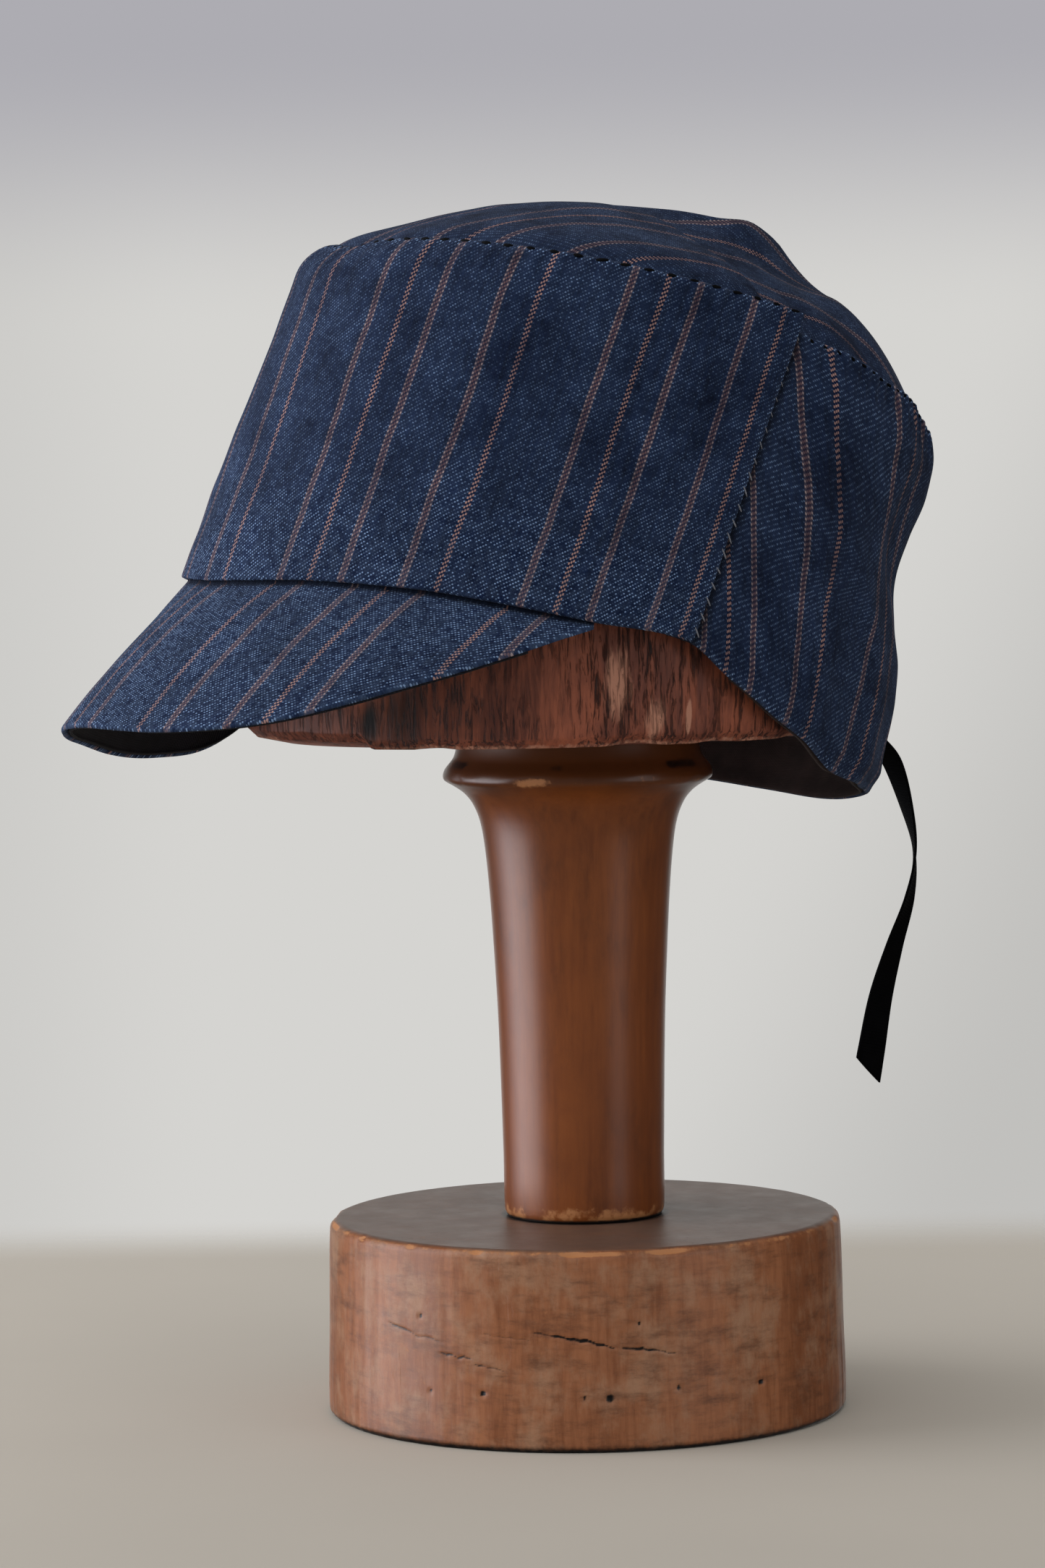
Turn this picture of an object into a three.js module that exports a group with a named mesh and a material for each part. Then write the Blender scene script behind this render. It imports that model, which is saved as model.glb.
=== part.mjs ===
import * as THREE from "three";

// A soft field cap on a turned wooden hat stand.
// Millimetres and degrees. Z is up, the cap's front faces -Y, the wearer's left is +X,
// and the origin is the middle of the base's underside. A turn is counted from the front.

// Cloth thicknesses, and the gap left between pieces that are sewn together.
const CLOTH = 1.6;
const LINING = 1.0;
const SEAM_GAP = 0.3;

// The crown's two plan ovals: the head opening and the seam round the top panel.
const HEAD = { halfLength: 102, halfWidth: 86, middle: -11.4 };
const TIP = { halfLength: 86.5, halfWidth: 74, middle: 18.5 };
const SEAM_LEAN = 9; // how much further back the side seam ends at its top
const SIDE_SEAM = 88; // turn of the side seam at the hem
const SEAM_LAP = 4; // how far the back panel runs on under the front panel
const SEAM_STEP = { drop: 4.5, reach: 18 }; // the back panel starts lower at the side seam

// Sections round the crown: heights of the hem and of the top seam, how far the wall's shoulder
// stands out before it rolls in to that seam, and the share of slack.
const SECTIONS = [
  { turn: 0, hem: 232.8, tip: 321.5, shoulder: 6, slack: 0 },
  { turn: 12, hem: 233, tip: 323, shoulder: 5.5, slack: 0 },
  { turn: 27, hem: 232.8, tip: 321.8, shoulder: 4, slack: 0 },
  { turn: 45, hem: 230.2, tip: 317.7, shoulder: 2, slack: 0 },
  { turn: 58, hem: 226.2, tip: 313.3, shoulder: 1.5, slack: 0 },
  { turn: 71, hem: 221.3, tip: 308.3, shoulder: 1, slack: 0 },
  { turn: 88, hem: 215, tip: 301.2, shoulder: 0.5, slack: 0.1 },
  { turn: 96, hem: 204.6, tip: 295.2, shoulder: 0, slack: 0.25 },
  { turn: 104, hem: 195, tip: 288.3, shoulder: 0, slack: 0.4 },
  { turn: 113, hem: 187, tip: 283, shoulder: 0, slack: 0.6 },
  { turn: 124, hem: 177.8, tip: 278.4, shoulder: 0, slack: 0.85 },
  { turn: 148, hem: 170.5, tip: 267.5, shoulder: 0, slack: 1 },
  { turn: 180, hem: 166, tip: 262, shoulder: 0, slack: 1 },
];
const SHOULDER = { from: 0.88, power: 3 };

// Swells and tucks of the slack back wall, by share of the wall's height.
const FOLDS = [
  { rise: 0.9, reach: 0.16, swell: 2 },
  { rise: 0.47, reach: 0.35, swell: -6 },
  { rise: 0, reach: 0.3, swell: -5 },
];

// The top panel: its crest over the block, and how it falls from there to the seam.
const TOP = { middle: 8, crest: -6, level: 334, bend: 0.0023, puffPower: 14, seamDip: 3 };
const TOP_FALL = [
  { turn: 0, flat: 0.2, power: 2.4, puff: 3 },
  { turn: 40, flat: 0.15, power: 2.2, puff: 5 },
  { turn: 70, flat: 0.1, power: 1.7, puff: 6 },
  { turn: 100, flat: 0.25, power: 1.4, puff: 8 },
  { turn: 130, flat: 0.5, power: 1.25, puff: 13 },
  { turn: 150, flat: 0.57, power: 1.2, puff: 14 },
  { turn: 180, flat: 0.58, power: 1.15, puff: 12 },
];

// The peak, from the far end to the near end: how far it reaches and how steeply it droops.
const PEAK_END = 72;
const PEAK_CAMBER = 0.035; // how far it arches up between seam and edge, by its reach
const PEAK_FAN = 0.6; // share of the turn that the peak's lines spread by
const PEAK_ROOT = 5; // height of the edge sewn inside the front panel
const PEAK_CLOTH = 1.4;
const PEAK_LINING = { edge: 1.5, end: 64 }; // how far it stays back from the edge, and its last turn
const PEAK = [
  { turn: -72, reach: 3, droop: 79 },
  { turn: -60, reach: 37, droop: 77 },
  { turn: -45, reach: 49.5, droop: 70 },
  { turn: -20, reach: 53.5, droop: 52 },
  { turn: 0, reach: 56.5, droop: 39.5 },
  { turn: 25, reach: 58, droop: 38 },
  { turn: 40, reach: 51, droop: 36.5 },
  { turn: 55, reach: 31, droop: 34 },
  { turn: 72, reach: 1, droop: 30 },
];

// The lining inside the back panel: turn from the side seam, and share of the wall's height.
const BACK_LINING = { clear: 8, high: 0.6 };

// Where the crown's walls are divided: degrees of turn, and shares of their height.
const WALL_HEIGHT = 90; // usual height of the crown's wall
const TURN_STEP = 4;
const RISES = [0, 0.06, 0.18, 0.34, 0.52, 0.68, 0.8, 0.9, 0.96, 1];

// The tie: its sewn end on the back panel, then points down its middle behind the nape, with
// how far its width has turned.
const TIE = { width: 10, thick: 0.8, cut: -6, sewnFrom: 0.32, sewnTo: 0.25 };
const TIE_PATH = [
  { y: 98.6, z: 183.4, twist: -4 },
  { y: 105.3, z: 176, twist: -10 },
  { y: 110.4, z: 162.5, twist: -22 },
  { y: 113.2, z: 149, twist: -31 },
  { y: 111.2, z: 136, twist: -44 },
  { y: 105.6, z: 122, twist: -60 },
  { y: 100.7, z: 108, twist: -74 },
  { y: 97.5, z: 94, twist: -82 },
  { y: 96, z: 87, twist: -84 },
];

// The wooden stand: the block's ovals by height, and the turned profiles of stem and base.
const BLOCK = [
  { z: 188, halfLength: 86.6, halfWidth: 72.2, middle: -6.6 },
  { z: 191, halfLength: 89, halfWidth: 74.5, middle: -6.6 },
  { z: 225, halfLength: 89, halfWidth: 75, middle: -5 },
  { z: 255, halfLength: 85, halfWidth: 73, middle: -1 },
  { z: 281, halfLength: 75, halfWidth: 66.5, middle: 2 },
  { z: 301, halfLength: 61, halfWidth: 56, middle: 3 },
  { z: 316, halfLength: 45, halfWidth: 42, middle: 3 },
  { z: 327, halfLength: 26, halfWidth: 25, middle: 2 },
  { z: 331.4, halfLength: 9, halfWidth: 9, middle: 1 },
];
const STEM = [
  { z: 54, radius: 21.4 },
  { z: 56, radius: 22.2 },
  { z: 72, radius: 22.4 },
  { z: 108, radius: 23.2 },
  { z: 130, radius: 24.2 },
  { z: 145, radius: 25.1 },
  { z: 157, radius: 26.2 },
  { z: 164, radius: 27.4 },
  { z: 169, radius: 29.4 },
  { z: 172, radius: 31.8 },
  { z: 174, radius: 34.6 },
  { z: 175.4, radius: 37 },
  { z: 176.6, radius: 37.5 },
  { z: 178.4, radius: 37 },
  { z: 182, radius: 34.4 },
  { z: 188, radius: 33.2 },
];
const BASE = [
  { z: 0, radius: 70.6 },
  { z: 1.5, radius: 72 },
  { z: 27, radius: 71.6 },
  { z: 51.5, radius: 71 },
  { z: 53.4, radius: 70.2 },
  { z: 54, radius: 68.8 },
];

const rad = THREE.MathUtils.degToRad;
const vec = (x, y, z) => new THREE.Vector3(x, y, z);

// The same turn on the near side, from 0 at the front to 180 at the back.
const halfTurn = (turn) => 180 - Math.abs(180 - ((turn + 360) % 360));

// A smooth curve through one column of a table, read at a place in its first column.
function read(table, key, at) {
  const by = Object.keys(table[0])[0];
  const x = (i) => table[i][by];
  const y = (i) => table[i][key];
  const last = table.length - 1;
  const place = THREE.MathUtils.clamp(at, x(0), x(last));
  let i = 0;
  while (i < last - 1 && place > x(i + 1)) i += 1;
  const slope = (j) => {
    const a = Math.max(j - 1, 0);
    const b = Math.min(j + 1, last);
    return (y(b) - y(a)) / (x(b) - x(a));
  };
  const span = x(i + 1) - x(i);
  const t = (place - x(i)) / span;
  const rise = (3 - 2 * t) * t * t;
  const ends = slope(i) * t * (1 - t) * (1 - t) - slope(i + 1) * t * t * (1 - t);
  return y(i) + (y(i + 1) - y(i)) * rise + ends * span;
}

const hump = (x, middle, reach) => {
  const d = Math.min(Math.abs(x - middle) / reach, 1);
  return Math.cos((d * Math.PI) / 2) ** 2;
};

function ovalPoint(ring, turn, z) {
  const a = rad(turn);
  return vec(ring.halfWidth * Math.sin(a), ring.middle - ring.halfLength * Math.cos(a), z);
}

function outward(turn) {
  const a = rad(turn);
  return vec(HEAD.halfLength * Math.sin(a), -HEAD.halfWidth * Math.cos(a), 0).normalize();
}

// A point of the crown's wall, from the hem (rise 0) to the top seam (rise 1).
function wallPoint(turn, rise, inward = 0) {
  const half = halfTurn(turn);
  const low = ovalPoint(HEAD, turn, read(SECTIONS, "hem", half));
  const lean = SEAM_LEAN * Math.sin(rad(turn));
  const high = ovalPoint(TIP, turn + lean, read(SECTIONS, "tip", half));
  const slack = read(SECTIONS, "slack", half);
  const folds = FOLDS.reduce((sum, f) => sum + f.swell * hump(rise, f.rise, f.reach), 0);
  const past = Math.max(0, (rise - SHOULDER.from) / (1 - SHOULDER.from));
  const shoulder = read(SECTIONS, "shoulder", half) * rise * (1 - past ** SHOULDER.power);
  return low.lerp(high, rise).addScaledVector(outward(turn), slack * folds + shoulder - inward);
}

// How far the back panel sinks to pass under the front panel's edge.
function underlap(turn) {
  const past = THREE.MathUtils.smoothstep(Math.abs(halfTurn(turn) - SIDE_SEAM), 5, 14);
  return (CLOTH + SEAM_GAP) * (1 - past);
}

// How far below the front panel's corner the back panel's top edge starts.
function seamStep(turn) {
  const past = halfTurn(turn) - SIDE_SEAM;
  const behind = 1 - THREE.MathUtils.smoothstep(past, 0, SEAM_STEP.reach);
  return SEAM_STEP.drop * behind * THREE.MathUtils.smoothstep(past, -2 * SEAM_LAP, -SEAM_LAP);
}

// Turns any closed surface face outwards.
function closed(points, faces) {
  const at = (i) => points[i];
  const volume = faces.reduce((sum, [a, b, c]) => sum + at(a).dot(at(b).clone().cross(at(c))), 0);
  const index = faces.flatMap(([a, b, c]) => (volume > 0 ? [a, b, c] : [a, c, b]));
  const geometry = new THREE.BufferGeometry().setFromPoints(points);
  geometry.setIndex(index);
  geometry.computeVertexNormals();
  return geometry;
}

// Evenly spaced values from one end to the other.
const spread = (from, to, step) => {
  const count = Math.round((to - from) / step);
  return Array.from({ length: count + 1 }, (_, i) => from + ((to - from) * i) / count);
};

// A sheet with two faces and closed edges, over lists of places across and along it.
function sheet(across, along, face) {
  const points = [];
  const faces = [];
  const columns = across.length - 1;
  const rows = along.length - 1;
  const id = (side, i, j) => (side * (columns + 1) + i) * (rows + 1) + j;
  const quad = (a, b, c, d) => faces.push([a, b, c], [a, c, d]);
  for (const side of [0, 1]) {
    for (const u of across) {
      for (const v of along) points.push(face(u, v, side));
    }
  }
  for (let i = 0; i < columns; i += 1) {
    for (let j = 0; j < rows; j += 1) {
      quad(id(0, i, j), id(0, i + 1, j), id(0, i + 1, j + 1), id(0, i, j + 1));
      quad(id(1, i, j), id(1, i, j + 1), id(1, i + 1, j + 1), id(1, i + 1, j));
    }
    quad(id(0, i, 0), id(1, i, 0), id(1, i + 1, 0), id(0, i + 1, 0));
    quad(id(0, i, rows), id(0, i + 1, rows), id(1, i + 1, rows), id(1, i, rows));
  }
  for (let j = 0; j < rows; j += 1) {
    quad(id(0, 0, j), id(0, 0, j + 1), id(1, 0, j + 1), id(1, 0, j));
    quad(id(0, columns, j), id(1, columns, j), id(1, columns, j + 1), id(0, columns, j + 1));
  }
  return closed(points, faces);
}

// A round sheet with a middle point and a closed rim; face(turn, out, side), out 0..1.
function disc(sectors, rings, face) {
  const points = [];
  const faces = [];
  const first = (side) => side * (sectors * rings + 1);
  const id = (side, i, j) => first(side) + 1 + (i % sectors) * rings + j - 1;
  for (const side of [0, 1]) {
    points.push(face(0, 0, side));
    for (let i = 0; i < sectors; i += 1) {
      for (let j = 1; j <= rings; j += 1) points.push(face((i * 360) / sectors, j, side));
    }
  }
  for (let i = 0; i < sectors; i += 1) {
    for (const side of [0, 1]) {
      const put = (a, b, c) => faces.push(side ? [a, c, b] : [a, b, c]);
      put(first(side), id(side, i, 1), id(side, i + 1, 1));
      for (let j = 1; j < rings; j += 1) {
        put(id(side, i, j), id(side, i, j + 1), id(side, i + 1, j + 1));
        put(id(side, i, j), id(side, i + 1, j + 1), id(side, i + 1, j));
      }
    }
    faces.push([id(0, i, rings), id(1, i, rings), id(1, i + 1, rings)]);
    faces.push([id(0, i, rings), id(1, i + 1, rings), id(0, i + 1, rings)]);
  }
  return closed(points, faces);
}

// Stacked loops of points, capped flat at both ends.
function stack(loops) {
  const count = loops[0].length;
  const points = loops.flat();
  const faces = [];
  for (let i = 0; i < loops.length - 1; i += 1) {
    for (let j = 0; j < count; j += 1) {
      const a = i * count + j;
      const b = i * count + ((j + 1) % count);
      faces.push([a, b, b + count], [a, b + count, a + count]);
    }
  }
  const last = (loops.length - 1) * count;
  for (let j = 1; j < count - 1; j += 1) {
    faces.push([0, j + 1, j], [last, last + j, last + j + 1]);
  }
  return closed(points, faces);
}

function frontPanel() {
  const turns = spread(-SIDE_SEAM, SIDE_SEAM, TURN_STEP);
  return sheet(turns, RISES, (turn, rise, side) => wallPoint(turn, rise, side * CLOTH));
}

function backPanel() {
  const from = SIDE_SEAM - SEAM_LAP;
  return sheet(spread(from, 360 - from, TURN_STEP), RISES, (turn, rise, side) => {
    const share = 1 - seamStep(turn) / WALL_HEIGHT;
    return wallPoint(turn, rise * share, underlap(turn) + side * CLOTH);
  });
}

function backLining() {
  const from = SIDE_SEAM + BACK_LINING.clear;
  const rises = RISES.filter((rise) => rise > 0 && rise < BACK_LINING.high);
  return sheet(spread(from, 360 - from, TURN_STEP), rises, (turn, rise, side) => {
    return wallPoint(turn, rise, underlap(turn) + CLOTH + SEAM_GAP + side * LINING);
  });
}

// The top panel's outer face, from its middle (out 0) to its sewn rim (out 1).
function topPoint(turn, out) {
  const half = halfTurn(turn);
  const rim = wallPoint(turn, 1, underlap(turn) + CLOTH + SEAM_GAP);
  const seam = rim.z - TOP.seamDip - seamStep(turn);
  const flat = read(TOP_FALL, "flat", half);
  const way = Math.max(0, (out - flat) / (1 - flat));
  const fall = way ** read(TOP_FALL, "power", half);
  const y = TOP.middle + (rim.y - TOP.middle) * out;
  const x = rim.x * out;
  const crest = TOP.level - TOP.bend * ((y - TOP.crest) ** 2 + x ** 2);
  const puff = read(TOP_FALL, "puff", half) + TOP.seamDip;
  const rise = (crest - seam - puff) * (1 - fall);
  return vec(x, y, seam + puff * (1 - out ** TOP.puffPower) + rise);
}

function topNormal(turn, out) {
  const step = 0.01;
  const along = topPoint(turn + 1, out).sub(topPoint(turn - 1, out));
  const inner = topPoint(turn, Math.max(out - step, 0));
  const across = topPoint(turn, Math.min(out + step, 1)).sub(inner);
  const normal = across.cross(along).normalize();
  return normal.z < 0 ? normal.negate() : normal;
}

function crownTop() {
  const rings = [0, 0.25, 0.45, 0.62, 0.77, 0.88, 0.95, 1];
  return disc(48, rings.length - 1, (turn, ring, side) => {
    const out = rings[ring];
    const normal = out > 0 ? topNormal(turn, out) : vec(0, 0, 1);
    return topPoint(turn, out).addScaledVector(normal, -side * CLOTH);
  });
}

// The peak: down inside the front panel's edge, then out along its droop.
function peakPoint(turn, run, below) {
  const reach = read(PEAK, "reach", turn);
  const drop = SEAM_GAP + 0.6 * Math.min(reach / 20, 1);
  const root = wallPoint(turn, 0, CLOTH + SEAM_GAP);
  root.z -= drop;
  const fan = rad(turn * PEAK_FAN);
  const ahead = vec(Math.sin(fan), -Math.cos(fan), 0);
  const droop = rad(read(PEAK, "droop", turn));
  const along = ahead.clone().multiplyScalar(Math.cos(droop)).setZ(-Math.sin(droop));
  const up = ahead.clone().multiplyScalar(Math.sin(droop)).setZ(Math.cos(droop));
  const wall = outward(turn);
  if (run < 0) return wallPoint(turn, -run / WALL_HEIGHT, CLOTH + SEAM_GAP + below);
  const normal = run > 0 ? up.clone() : up.clone().add(wall).normalize();
  const camber = PEAK_CAMBER * 4 * run * (1 - run / reach);
  return root.addScaledVector(along, run).addScaledVector(up, camber).addScaledVector(normal, -below);
}

function peakSheet(end, top, thick, shy) {
  const runs = [-1, 0, 0.2, 0.45, 0.7, 1];
  return sheet(spread(-end, end, TURN_STEP), runs, (turn, run, side) => {
    const full = read(PEAK, "reach", turn);
    const reach = run < 0 ? PEAK_ROOT : Math.max(full - shy, full / 2);
    return peakPoint(turn, run * reach, top + side * thick);
  });
}

function peakLining() {
  return peakSheet(PEAK_LINING.end, PEAK_CLOTH + SEAM_GAP, LINING, PEAK_LINING.edge);
}

function ribbonTie() {
  const sewn = [TIE.sewnFrom, TIE.sewnTo].map((rise) => {
    const place = wallPoint(180, rise, -SEAM_GAP - TIE.thick / 2 - 0.1);
    return { y: place.y, z: place.z, twist: 0 };
  });
  const path = [...sewn, ...TIE_PATH];
  const curve = new THREE.CatmullRomCurve3(path.map((p) => vec(0, p.y, p.z)));
  const steps = 30;
  const last = path.length - 1;
  const loops = [];
  for (let i = 0; i <= steps; i += 1) {
    const t = i / steps;
    const middle = curve.getPoint(t);
    const along = curve.getTangent(t);
    const k = Math.min(Math.floor(t * last), last - 1);
    const turned = THREE.MathUtils.lerp(path[k].twist, path[k + 1].twist, t * last - k);
    const across = vec(Math.cos(rad(turned)), Math.sin(rad(turned)), 0);
    across.addScaledVector(along, -across.dot(along)).normalize();
    const face = along.clone().cross(across);
    const w = TIE.width / 2;
    const h = TIE.thick / 2;
    const slant = i === steps ? TIE.cut / 2 : 0;
    const corner = (x, y) => {
      const p = middle.clone().addScaledVector(across, x).addScaledVector(face, y);
      return p.addScaledVector(along, (slant * x) / w);
    };
    loops.push([corner(-w, -h), corner(0, -h), corner(w, -h), corner(w, h), corner(0, h), corner(-w, h)]);
  }
  return stack(loops);
}

function hatBlock() {
  const loops = [];
  const levels = [188, 189.2, 191, 208, 225, 241, 255, 269, 281, 292, 301, 309, 316, 322, 327, 330, 331.4];
  for (const z of levels) {
    const ring = {
      halfLength: read(BLOCK, "halfLength", z),
      halfWidth: read(BLOCK, "halfWidth", z),
      middle: read(BLOCK, "middle", z),
    };
    loops.push(Array.from({ length: 40 }, (_, i) => ovalPoint(ring, i * 9, z)));
  }
  return stack(loops);
}

function turned(profile, segments) {
  const outline = profile.map((p) => new THREE.Vector2(p.radius, p.z));
  const top = profile[profile.length - 1].z;
  const line = [new THREE.Vector2(0, profile[0].z), ...outline, new THREE.Vector2(0, top)];
  return new THREE.LatheGeometry(line, segments).rotateX(Math.PI / 2);
}

const COLOURS = {
  denim: { color: 0x2c3752, roughness: 0.9, metalness: 0 },
  dark: { color: 0x14131a, roughness: 0.9, metalness: 0 },
  brown: { color: 0x1c1614, roughness: 0.9, metalness: 0 },
  ribbon: { color: 0x151517, roughness: 0.7, metalness: 0 },
  darkWood: { color: 0x4a2a20, roughness: 0.5, metalness: 0 },
  wood: { color: 0x6e4128, roughness: 0.4, metalness: 0 },
  baseWood: { color: 0x7d5740, roughness: 0.55, metalness: 0 },
};

const cap = new THREE.Group();
function add(name, geometry, colour) {
  const mesh = new THREE.Mesh(geometry, new THREE.MeshStandardMaterial(COLOURS[colour]));
  mesh.name = name;
  cap.add(mesh);
}

add("front_panel", frontPanel(), "denim");
add("back_panel", backPanel(), "denim");
add("crown_top", crownTop(), "denim");
add("peak", peakSheet(PEAK_END, 0, PEAK_CLOTH, 0), "denim");
add("peak_lining", peakLining(), "dark");
add("back_lining", backLining(), "brown");
add("ribbon_tie", ribbonTie(), "ribbon");
add("hat_block", hatBlock(), "darkWood");
add("stand_stem", turned(STEM, 40), "wood");
add("stand_base", turned(BASE, 48), "baseWood");

export default cap;
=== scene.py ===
import math
from functools import lru_cache

import bmesh
import bpy
from bpy.props import FloatProperty, FloatVectorProperty, PointerProperty
from mathutils import Matrix, Vector, noise


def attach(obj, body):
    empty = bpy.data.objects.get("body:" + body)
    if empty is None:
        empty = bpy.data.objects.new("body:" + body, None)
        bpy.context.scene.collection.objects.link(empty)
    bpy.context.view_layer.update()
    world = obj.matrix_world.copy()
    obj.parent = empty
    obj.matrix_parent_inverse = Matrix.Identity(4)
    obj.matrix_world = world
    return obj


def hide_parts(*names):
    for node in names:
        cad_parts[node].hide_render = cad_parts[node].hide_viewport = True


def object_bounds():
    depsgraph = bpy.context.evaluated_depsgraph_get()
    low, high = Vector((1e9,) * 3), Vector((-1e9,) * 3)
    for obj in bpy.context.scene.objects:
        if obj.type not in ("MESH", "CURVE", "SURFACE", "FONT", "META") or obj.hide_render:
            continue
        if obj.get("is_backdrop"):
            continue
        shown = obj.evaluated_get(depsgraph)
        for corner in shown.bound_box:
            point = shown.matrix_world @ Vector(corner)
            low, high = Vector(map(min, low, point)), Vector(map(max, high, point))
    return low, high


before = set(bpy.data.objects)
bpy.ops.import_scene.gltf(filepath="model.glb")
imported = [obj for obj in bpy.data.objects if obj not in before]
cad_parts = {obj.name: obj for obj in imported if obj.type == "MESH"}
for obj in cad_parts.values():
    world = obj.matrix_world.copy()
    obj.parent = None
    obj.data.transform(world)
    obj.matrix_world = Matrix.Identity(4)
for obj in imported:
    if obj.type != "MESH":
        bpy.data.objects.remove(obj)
CAD_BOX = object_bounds()

bl_info = {
    "name": "Field cap on a hat stand",
    "version": (1, 0, 0),
    "blender": (4, 5, 0),
    "location": "3D View > Sidebar > Field cap",
    "description": "Sews a soft pinstriped field cap and turns the wooden stand it rests on",
    "category": "Object",
}

# Millimetres and degrees. Z is up, the cap faces -Y, and a turn is counted from the front.
MM = 0.001
UV_SCALE = 100  # millimetres of cloth to one unit of its UV map
WELD = 1e-4  # vertices closer than this become one


class Table:
    """Rows of numbers under named columns, read as smooth curves over the first column."""

    def __init__(self, columns, *rows):
        self.columns = columns.split()
        self.rows = rows

    def read(self, column, place):
        k = self.columns.index(column)
        x = [row[0] for row in self.rows]
        y = [row[k] for row in self.rows]
        last = len(x) - 1
        place = min(max(place, x[0]), x[last])
        i = 0
        while i < last - 1 and place > x[i + 1]:
            i += 1

        def slope(j):
            a, b = max(j - 1, 0), min(j + 1, last)
            return (y[b] - y[a]) / (x[b] - x[a])

        span = x[i + 1] - x[i]
        t = (place - x[i]) / span
        ends = slope(i) * t * (1 - t) ** 2 - slope(i + 1) * t * t * (1 - t)
        return y[i] + (y[i + 1] - y[i]) * (3 - 2 * t) * t * t + ends * span


# The crown's plan ovals: half length, half width and middle.
HEAD = (102.0, 86.0, -11.4)
TIP = (86.5, 74.0, 18.5)
SEAM_LEAN = 9
SIDE_SEAM = 88
SEAM_LAP = 4
SEAM_GAP = 0.3
SEAM_STEP = (4.5, 18)
WALL_HEIGHT = 90
# The row past 180 mirrors the one before it, so that the nape and the back rim are smooth.
SECTIONS = Table(
    "turn hem tip shoulder slack",
    (0, 232.8, 321.5, 6, 0),
    (12, 233, 323, 5.5, 0),
    (27, 232.8, 321.8, 4, 0),
    (45, 230.2, 317.7, 2, 0),
    (58, 226.2, 313.3, 1.5, 0),
    (71, 221.3, 308.3, 1, 0),
    (88, 215, 301.2, 0.5, 0.1),
    (96, 204.6, 295.2, 0, 0.25),
    (104, 195, 288.3, 0, 0.4),
    (113, 187, 283, 0, 0.6),
    (124, 177.8, 278.4, 0, 0.85),
    (148, 170.5, 267.5, 0, 1),
    (180, 166, 262, 0, 1),
    (212, 170.5, 267.5, 0, 1),
)
SHOULDER_FROM = 0.88
SHOULDER_TIGHT = (-48, 40, 0.06)  # where the shoulder starts later: turn, reach and share
# Folds across the slack back: rise, reach and swell.
FOLDS = ((0.9, 0.16, 2), (0.58, 0.3, -5.6), (0.3, 0.25, -2), (0, 0.3, -5), (0, 0.06, -2.5))
# Dents of the top where it falls to the back: place from middle to rim, reach and swell.
TOP_DENTS = ((0.5, 0.1, 1), (0.63, 0.15, -4), (0.84, 0.15, 2))
TOP_MIDDLE = 8
TOP_CREST = (-6, 334, 0.0023)  # place along Y, level and bend
TOP_SEAM_DIP = 3
# Where the top seam is drawn up level with the rim: turn, reach and share of the dip.
TOP_SEAM_FULL = (325, 35, 1.2)
TOP_RIPPLE = (0.6, 0.3)  # share of the cloth's unevenness, and how slack the top is
TOP_FALL = Table(
    "turn flat power puff",
    (0, 0.2, 2.4, 3),
    (40, 0.15, 2.2, 5),
    (70, 0.1, 1.7, 6),
    (100, 0.25, 1.4, 8),
    (130, 0.5, 1.25, 13),
    (150, 0.57, 1.2, 14),
    (180, 0.58, 1.15, 12),
    (210, 0.57, 1.2, 14),
)
PEAK_END = 72
PEAK_LINING_END = 64
PEAK_CAMBER = 0.035
PEAK_FAN = 0.6
PEAK_TUCK = 0.6  # how far the peak's root drops below the front panel's edge
PEAK = Table(
    "turn reach droop",
    (-72, 3, 79),
    (-60, 37, 77),
    (-45, 49.5, 70),
    (-20, 53.5, 52),
    (0, 56.5, 39.5),
    (25, 58, 38),
    (40, 51, 36.5),
    (55, 31, 34),
    (72, 1, 30),
)
BACK_LINING = (8, 0.5)  # turn kept clear of the side seam, and share of the wall's height
# Unevenness of worn cloth: waves to the millimetre, swell, and the swell that slackness adds.
BROAD_RIPPLE = (0.028, 0.8, 1)
SMALL_RIPPLE = (0.085, 0.3, 0.25)
UPRIGHT_RIPPLE = (0.05, 0.014, 1.7)  # waves across and up, and swell on slack cloth
EDGE_WEAR = (0.3, 2.2)  # an edge is worn up to the first distance, and not past the second
TIE_SEWN = (0.32, 0.25)
TIE_WIDTH = 10
TIE_THICK = 0.8
TIE_CUT = -6
TIE_PATH = (
    (98.6, 183.4, 3),
    (105.3, 176, 0),
    (110.4, 162.5, -15),
    (113.2, 149, -33),
    (111.2, 136, -49),
    (105.6, 122, -62),
    (100.7, 108, -74),
    (97.5, 94, -82),
    (96, 87, -84),
)
BASE_TOP = 54
STEM_TOP = 188
BLOCK_TOP = 331.4
BLOCK = Table(
    "z length width middle",
    (188, 86.6, 72.2, -6.6),
    (191, 89, 74.5, -6.6),
    (225, 89, 75, -5),
    (255, 85, 73, -1),
    (281, 75, 66.5, 2),
    (301, 61, 56, 3),
    (316, 45, 42, 3),
    (327, 26, 25, 2),
    (331.4, 9, 9, 1),
)
STEM = Table(
    "z radius",
    (54, 21.4),
    (56, 22.2),
    (72, 22.4),
    (108, 23.2),
    (130, 24.2),
    (145, 25.1),
    (157, 26.2),
    (164, 27.4),
    (169, 29.4),
    (172, 31.8),
    (174, 34.6),
    (175.4, 37),
    (176.6, 37.5),
    (178.4, 37),
    (182, 34.4),
    (188, 33.2),
)
BASE = Table(
    "z radius", (0, 70.6), (1.5, 72), (27, 71.6), (51.5, 71), (53.4, 70.2), (54, 68.8)
)

# Stripes across one repeat of the cloth: place and whether it is a thick one.
STRIPE_REPEAT = 66.6
STRIPES = ((0, True), (8.8, False), (18.2, True), (35, True), (44.6, False))
STRIPE_START = 10  # yarns from the repeat's beginning to its first stripe
WEFT_SHARE = 0.8  # width of a weft yarn to a warp yarn's
MEAN_FLECK = 0.1


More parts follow.
